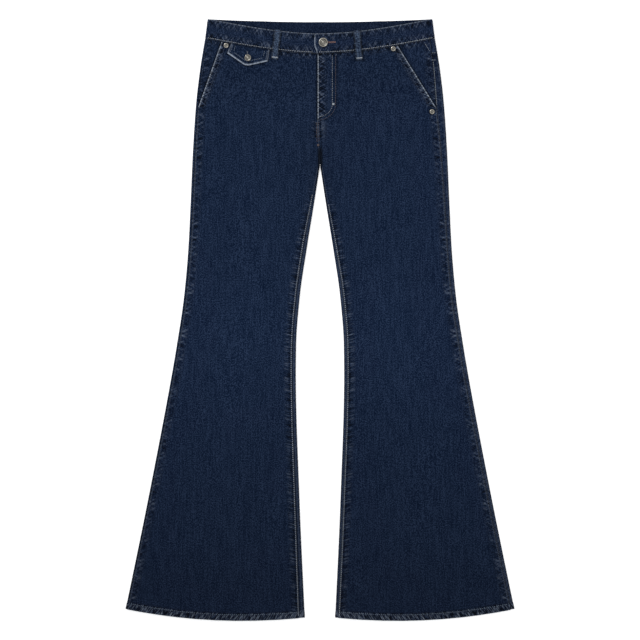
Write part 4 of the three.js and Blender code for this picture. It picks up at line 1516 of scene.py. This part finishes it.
# %% Rows on the fly
CENTRE_ROWS_END = 227.0
FLY_BARS = (("thread_bartacks", 24.5, 155.7), ("thread_fly_outer", -3.3, 230.6))


def sew_j(radius, drop, group):
    """One row of the J from the band to the centre seam."""
    straight = np.arange(front_band_foot(J_CENTRE + radius) + 2, J_TURN, 0.6)
    turn = np.linspace(0, math.pi / 2, 70)[1:]
    x = J_CENTRE + radius * np.concatenate([1 + 0 * straight, np.cos(turn)])
    down = np.concatenate([straight, J_TURN + drop * np.sin(turn)])
    x, down = x[x > FLY_EDGE + 0.6], down[x > FLY_EDGE + 0.6]
    sew_front("left", x, row_at(x, down), group, length=2.2, width=0.75)


def sew_centre(side, down, beside, group, width):
    x = SIDES[side] * centre_front(down) + beside
    sew_front(side, x, row_at(x, down), group, width=width)


for (radius, drop), group in zip(J_ROWS, ("thread_fly_inner", "thread_fly_outer")):
    sew_j(radius, drop, group)
fly_down = np.arange(front_band_foot(FLY_EDGE) + 2, CENTRE_ROWS_END, 0.6)
sew_centre("left", fly_down[fly_down < FLY_END_DOWN], 1.7, "thread_fly_edge", 0.6)
sew_centre("left", fly_down[fly_down > FLY_END_DOWN], 1.7, "thread_fly_outer", 0.6)
sew_centre("right", np.arange(FLY_END_DOWN + 2, CENTRE_ROWS_END, 0.6), 2.2, "thread_fly_outer", 0.7)
for group, bar_x, bar_down in FLY_BARS:
    level = float(front_level("left", max(bar_x, FLY_EDGE), bar_down)) + DENIM + 0.75
    ends = [(bar_x, WAIST_Y - bar_down + shift, level) for shift in (-1.6, 1.6)]
    satin(group, *ends, (1, 0, 0), 4.2, pitch=0.5)


# %% Rows on the band, the loops and the flap
def sew_band():
    x, z, _, nz, _ = band_path().T
    s = band_lengths(x, z)
    on_top = nz < -0.99
    left_end = s[np.argmin(on_top)]
    right_start = s[len(s) - np.argmin(on_top[::-1])]
    for away, start, group in ((2.3, 4.0, "thread_band_top"), (BAND_HEIGHT - 1.9, 6.5, "thread_waistband")):
        parts = {
            "left": np.arange(start, left_end, 0.6),
            "right": np.arange(right_start, s[-1] - (UNDERLAP_END - LAP_END) - 1, 0.6),
            "behind": np.arange(left_end + 12, right_start - 12, 0.6),
        }
        for part, places in parts.items():
            px, pz = np.interp(places, s, x), np.interp(places, s, z)
            height = band_features(places, away + 0 * places, 99.0 + 0 * places)[0]
            px, down = band_place(px, part != "behind", away / BAND_HEIGHT, 0.0)
            if part == "behind":
                sew_below(group, px[::-1], down[::-1], (pz - np.minimum(height, 0) + 0.02)[::-1])
            else:
                sew(group, to_frame(px, down, pz + height) + LIFT, length=2.3, width=0.62)
    share = np.linspace(4.4 / BAND_HEIGHT, 1 - 2.6 / BAND_HEIGHT, 60)
    px, down = band_place(LAP_END + 2.3 + LAP_FOOT_IN * smooth(0.5, 1.0, share), True, share, 0.0)
    sew("thread_band_top", to_frame(px, down, LAP_LEVEL + BAND_WALL - 0.05))


def on_loop(side, along, across, above):
    x, down = loop_place(side, along, across)
    return to_frame(x, down, loop_level(side, x, down, along) + LOOP_WALL + above)


def sew_loops():
    along = np.arange(2.0, LOOP_LENGTH - 2, 0.6)
    across = LOOP_WIDTH / 2 + (LOOP_WIDTH / 2 - 1.2) * np.array([-1, 1])
    for side in FRONT_LOOPS:
        for place in LOOP_STITCHES:
            height = loop_features(along, place + 0 * along)[0]
            sew("thread_loops", on_loop(side, along, place + 0 * along, height) + LIFT)
        for group, bar in (("thread_loops", 3.4), ("thread_bartacks", LOOP_LENGTH - 3.4)):
            satin(group, *on_loop(side, bar + 0 * across, across, 0.1), (0, 1, 0), 2.4)
    for centre in BACK_LOOPS.values():
        for place in LOOP_STITCHES:
            down = float(back_band_top(centre)) - LOOP_PROUD + along
            sew_below("thread_loops", centre + place - LOOP_WIDTH / 2, down, 0.22)


def sew_flap():
    for away in FLAP_STITCHES:
        left, right = 0.02 + away / 75, 0.98 - away / 75
        share = np.linspace(left, right, 120)
        depth = 1 - away / 0.86 / (flap_place(share, 1 + 0 * share)[1] - flap_place(share, 0 * share)[1])
        beside = np.linspace(0.08, 1, 30)
        lines = ((left, beside * depth[0]), (share, depth), (right, (beside * depth[-1])[::-1]))
        for line_share, line_depth in lines:
            sew("thread_flap_rows", flap_point(line_share + 0 * line_depth, line_depth)[0] + LIFT)


sew_band()
sew_loops()
sew_flap()


# %% Rows on the back, under the garment
def sew_back_side(side):
    along, across = np.linspace(0.02, 0.97, 200), np.linspace(0.04, 0.96, 200)
    lines = []
    for away in POCKET_STITCHES:
        in_x, in_down = away / POCKET_SIZE[0], away / POCKET_SIZE[1]
        lines += [(in_x, along), (1 - in_x, along), (across, 1 - in_down)]
    for line in lines + [(np.linspace(0.02, 0.98, 200), 2.4 / POCKET_SIZE[1])]:
        x, down = pocket_place(*np.broadcast_arrays(*line))
        sew_below(f"thread_{side}_pocket", SIDES[side] * x, down)
    yoke_x = np.arange(2.0, 205.0, 0.8)
    rows = [(yoke_x, yoke_line(yoke_x / outer_half(YOKE_SIDE_DOWN)) + away) for away in (2.0, 7.6)]
    for x, down in rows + [(2.6, np.arange(120.0, CROTCH_DOWN - 6, 0.8))]:
        sew_below(f"thread_{side}_back", SIDES[side] * x, down, 0.12)


for side in SIDES:
    sew_back_side(side)

# %% [markdown]
# ## Buttonholes
# A buttonhole is a slit edged with threads laid side by side. The one in the waistband is sewn in a
# copper thread and points away from the end of the band.

# %% Buttonholes
WAIST_BUTTON = {"x": 5.9, "down": 43.4, "radius": 8.5, "height": 3.0}
FLAP_BUTTON = {"x": -131.8, "down": 71.4, "radius": 6.0, "height": 2.4}
BAND_TOP_LEVEL = LAP_LEVEL + BAND_WALL
FLAP_LEVEL = float(front_floor(65.0)) + DENIM + 0.5 + FLAP_WALL


def buttonhole(group, start, end, level, reach=1.2, slit=0.5):
    """Two satin edges along a slit from start to end, closed by a bar at its far end."""
    a, b = (np.array([x, WAIST_Y - down, level + 0.15]) for x, down in (start, end))
    along = unit(b - a)
    across = np.array([-along[1], along[0], 0])
    for turn in (-1, 1):
        shift = across * turn * (slit + reach) / 2
        satin(group, a + shift, b + shift, across, reach, pitch=0.6)
    satin(group, b + across * reach, b - across * reach, along, reach, pitch=0.6)


buttonhole("thread_buttonhole", (10.0, 43.3), (28.0, 42.6), BAND_TOP_LEVEL)
buttonhole("thread_flap_hole", (-131.9, 67.0), (-132.9, 59.5), FLAP_LEVEL, reach=0.7, slit=0.4)
thread_pieces = [finish_thread(group) for group in THREADS]
print({piece.name: len(piece.data.polygons) for piece in thread_pieces})

# %% [markdown]
# ## Buttons and rivets
# The metal parts are turned: a profile is drawn from the foot outwards and back to the centre, then
# swept round. Cast buttons are dipped in a dark wash that stays in every hollow, so the sunken parts
# are painted with negative wear and the finish turns that into tarnish.

# %% Profiles: radius, height and how dark the wash is
BUTTON_PROFILE = table("radius height dark", """
    0.8 0.0 0.6
    0.97 0.2 0.5
    1.0 0.5 0.1
    0.97 0.82 0.0
    0.9 0.98 0.0
    0.82 1.0 0.0
    0.76 0.92 0.2
    0.72 0.74 1.0
    0.62 0.7 0.9
    0.56 0.82 0.1
    0.5 0.84 0.05
    0.44 0.74 0.8
    0.36 0.7 0.8
    0.26 0.8 0.15
    0.1 0.86 0.05
    0.02 0.87 0.05""")
RIVET_PROFILE = table("radius height dark", """
    4.2 0.0 0.5
    4.4 0.25 0.3
    4.25 0.6 0.05
    3.7 0.85 0.0
    3.0 0.8 0.05
    2.4 0.62 0.5
    1.9 0.55 1.0
    1.45 0.7 0.7
    1.15 1.25 0.1
    0.8 1.5 0.0
    0.1 1.55 0.0""")


# %% Turned metal
def turned(node, profile, x, down, level, sides=72):
    """A closed turned piece that stands for a node of the frame."""
    places = np.arange(len(profile["radius"]))
    fine = np.linspace(0, places[-1], places[-1] * 4 + 1)
    radius, height, dark = (np.interp(fine, places, column) for column in profile.values())
    for values in (radius, height):
        values[1:-1] = np.convolve(values, [0.25, 0.5, 0.25], "valid")
    angle = np.arange(sides) * 2 * math.pi / sides
    turn = radius[:, None]
    rings = to_frame(x + turn * np.cos(angle), down - turn * np.sin(angle), level + height[:, None])
    points = np.concatenate([rings.reshape(-1, 3), rings[0].mean(0)[None], rings[-1].mean(0)[None]])
    rows, around = len(radius), np.arange(sides)
    after, centre = (around + 1) % sides, rows * sides
    row = np.arange(rows - 1)[:, None] * sides
    a, b = row + around, row + after
    ring = np.stack([a, b, b + sides, a, b + sides, a + sides], axis=-1).reshape(-1, 3)
    last = (rows - 1) * sides
    foot = np.stack([0 * around + centre, after, around], axis=-1)
    cap = np.stack([0 * around + centre + 1, last + around, last + after], axis=-1)
    wash = np.concatenate([np.repeat(dark, sides), dark[[0, -1]]])
    piece = make_mesh(f"{node}_metal", points, np.concatenate([ring, foot, cap]), {"wear": -wash})
    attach(piece, "root")
    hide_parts(node)
    return piece


def button(node, place, level):
    profile = {key: column * place.get(key, 1.0) for key, column in BUTTON_PROFILE.items()}
    return turned(node, profile, place["x"], place["down"], level)


metal = [
    button("waist_button", WAIST_BUTTON, BAND_TOP_LEVEL + 0.3),
    button("flap_button", FLAP_BUTTON, FLAP_LEVEL + 0.4),
]
for name, (x, down) in RIVETS.items():
    metal.append(turned(name, RIVET_PROFILE, x, down, float(front_floor(down)) + DENIM + 0.45, 48))
print([piece.name for piece in metal])

# %% [markdown]
# ## Denim
# Denim is woven from a blue warp over a white weft in a diagonal twill, so it is never one blue. The
# finish mixes a dark and a washed blue by the painted wear, by blotches a few millimetres wide, by
# streaks along the warp and by the twill itself, and the same pattern tilts the light as a bump. The
# negative wear and the painted `shade` then darken the colour, and both hold painted shadow as well
# as the cloth's own tone.


# %% Finishes
def denim_finish(name, dark, washed, level=0.29, mottle=1.0):
    cloth = Finish(name)
    wear, rim, shade = (cloth.painted(key) for key in ("wear", "edge", "shade"))
    blotch = cloth.noise((520, 520, 520), roughness=0.6) - 0.5
    streak = cloth.noise((1100, 300, 500)) - 0.5
    fine = cloth.noise((1500, 1500, 1500)) - 0.5
    cloud = cloth.noise((60, 34, 60), detail=3.0) - 0.5
    bands = {"wave_type": "BANDS", "bands_direction": "DIAGONAL", "wave_profile": "SIN"}
    twill = cloth.node("ShaderNodeTexWave", bands, {"Vector": cloth.place((480, 480, 480)), "Scale": 1.0})
    slub = cloth.noise((620, 34, 620)) - 0.5
    grain = blotch * 5.4 + streak * 3.4 + slub * 1.8 + fine * 0.8 + (twill - 0.5) * 0.2
    puckers = cloth.ridges(1.0, 0.0) * cloth.painted("forward")
    puckers = puckers + cloth.ridges(-1.0, 40.0) * cloth.painted("backward")
    wear = wear + puckers
    tone = level + grain * mottle + cloud * 0.45 + wear * 0.12
    colour = cloth.mix(tone.clamped(), dark, washed)
    rubbed = (wear * 0.11 * (1 + blotch * 2.0)).clamped() + rim * (0.8 + blotch * 1.4)
    faded = cloth.mix(rubbed.clamped(), colour, DENIM_PALE)
    # Painted shade: the colour is darkened by `shade` and by negative wear, which hold painted shadows as
    # well as the cloth's darker tone.
    tone_and_shade = shade * (1 - (wear * -0.55).clamped() * 0.75)
    toned_and_shaded = cloth.node("ShaderNodeVectorMath", {"operation": "SCALE"}, {0: faded, "Scale": tone_and_shade})
    weave = twill * 0.35 + streak * 0.5 + blotch * 0.5 + fine * 0.4 + puckers * 0.25
    cloth.set(Base_Color=toned_and_shaded, Roughness=0.94, Normal=cloth.bump(0.35, 0.0004, weave))
    cloth.set(Sheen_Weight=0.02, Sheen_Roughness=0.4, Specular_IOR_Level=0.08)
    return cloth.material


def thread_finish(name, colour, dark):
    thread = Finish(name)
    twist = thread.noise((2200, 2200, 2200), detail=1.0)
    rub = thread.noise((120, 120, 120)) - 0.5
    share = (twist * 0.5 + rub * 0.8 + 0.15).clamped()
    thread.set(Base_Color=thread.mix(share, linear(*colour), linear(*dark)), Roughness=0.8)
    thread.set(Normal=thread.bump(0.4, 0.0003, twist))
    return thread.material


def metal_finish(name, bright, tarnish):
    metal = Finish(name)
    wash = (metal.painted("wear") * -1.15 + (metal.noise((700, 700, 700), detail=3.0) - 0.5) * 0.5).clamped()
    scratch = metal.noise((1600, 500, 900), detail=3.0)
    metal.set(Base_Color=metal.mix(wash, bright, tarnish), Normal=metal.bump(0.25, 0.0002, scratch))
    metal.set(Roughness=(0.26 + wash * 0.35 + scratch * 0.12).clamped(), Metallic=(1 - wash * 0.4).clamped())
    return metal.material


DENIM_DARK = linear(2, 16, 38)
DENIM_PALE = linear(140, 150, 164)
indigo = denim_finish("indigo_denim", DENIM_DARK, linear(35, 49, 73))
CLOTH_FINISHES = {
    "waistband": denim_finish("band_denim", DENIM_DARK, linear(40, 53, 77), 0.24, 0.8),
    "loop": denim_finish("loop_denim", linear(8, 20, 42), linear(72, 88, 110), 0.40, 0.8),
    "fly_zip": denim_finish("zip_tape_cloth_finish", linear(10, 13, 20), linear(30, 38, 54), 0.35, 0.3),
}
THREAD_COLOURS = {
    "pale_thread": ((176, 182, 186), (70, 80, 98)),
    "white_thread": ((206, 210, 210), (120, 128, 140)),
    "grey_thread": ((118, 130, 144), (58, 70, 90)),
    "faded_thread": ((62, 74, 96), (26, 36, 56)),
    "copper_thread": ((150, 116, 104), (84, 62, 60)),
    "brown_thread": ((104, 88, 82), (36, 36, 46)),
}
THREAD_OF = {
    "hem": "grey",
    "flap_rows": "grey",
    "fly_inner": "pale",
    "inseam": "pale",
    "fly_edge": "pale",
    "waistband": "white",
    "flap_hole": "pale",
    "side_upper": "pale",
    "bartacks": "pale",
    "buttonhole": "copper",
    "fly_outer": "brown",
}
thread_finishes = {name: thread_finish(name, *colours) for name, colours in THREAD_COLOURS.items()}
nickel = metal_finish("antique_nickel_finish", linear(158, 155, 146), linear(38, 36, 34))

# %% Dress every piece
for node, piece in CLOTH.items():
    kind = "loop" if node.startswith("loop") else node
    piece.data.materials.append(CLOTH_FINISHES.get(kind, indigo))
for piece in thread_pieces:
    colour = THREAD_OF.get(piece.name.removeprefix("thread_"), "faded")
    piece.data.materials.append(thread_finishes[f"{colour}_thread"])
for piece in metal:
    piece.data.materials.append(nickel)

# %% [markdown]
# ## Flat sizes
# Each piece of cloth says how large it was cut, because a garment is made from flat pieces. `width` and
# `length` are those of the rectangle that the piece is cut from, in metres, and `share` is how much of it
# the tapering shape fills. Hems and turned edges are part of the cut. Everything here lies on the table
# or on the piece below it.

# %% Cut sizes
CUT = {
    "front": (0.358, 1.085, 0.64),
    "back": (0.380, 1.045, 0.67),
    "yoke": (0.235, 0.075, 0.62),
    "right_hip_facing": (0.078, 0.150, 0.46),
    "left_hip_facing": (0.108, 0.150, 0.45),
    "back_pocket": (0.124, 0.176, 0.80),
    "waistband": (0.880, 0.090, 0.48),
    "loop": (0.0135, 0.055, 1.0),
    "ticket_flap": (0.080, 0.046, 0.68),
    "fly_shield": (0.045, 0.122, 1.0),
    "fly_zip": (0.019, 0.105, 1.0),
}
for node, piece in CLOTH.items():
    side, _, kind = node.partition("_")
    cut = "loop" if side == "loop" else node
    width, length, share = CUT.get(cut) or CUT[kind]
    area = None if share == 1 else share * width * length
    made = sum(polygon.area for polygon in piece.data.polygons) / 2
    print(node, "cut", round(area or width * length, 4), "made", round(made, 4))

# %% [markdown]
# The visual model may stand a little proud of the plain one, as cloth does, but it may not be larger.
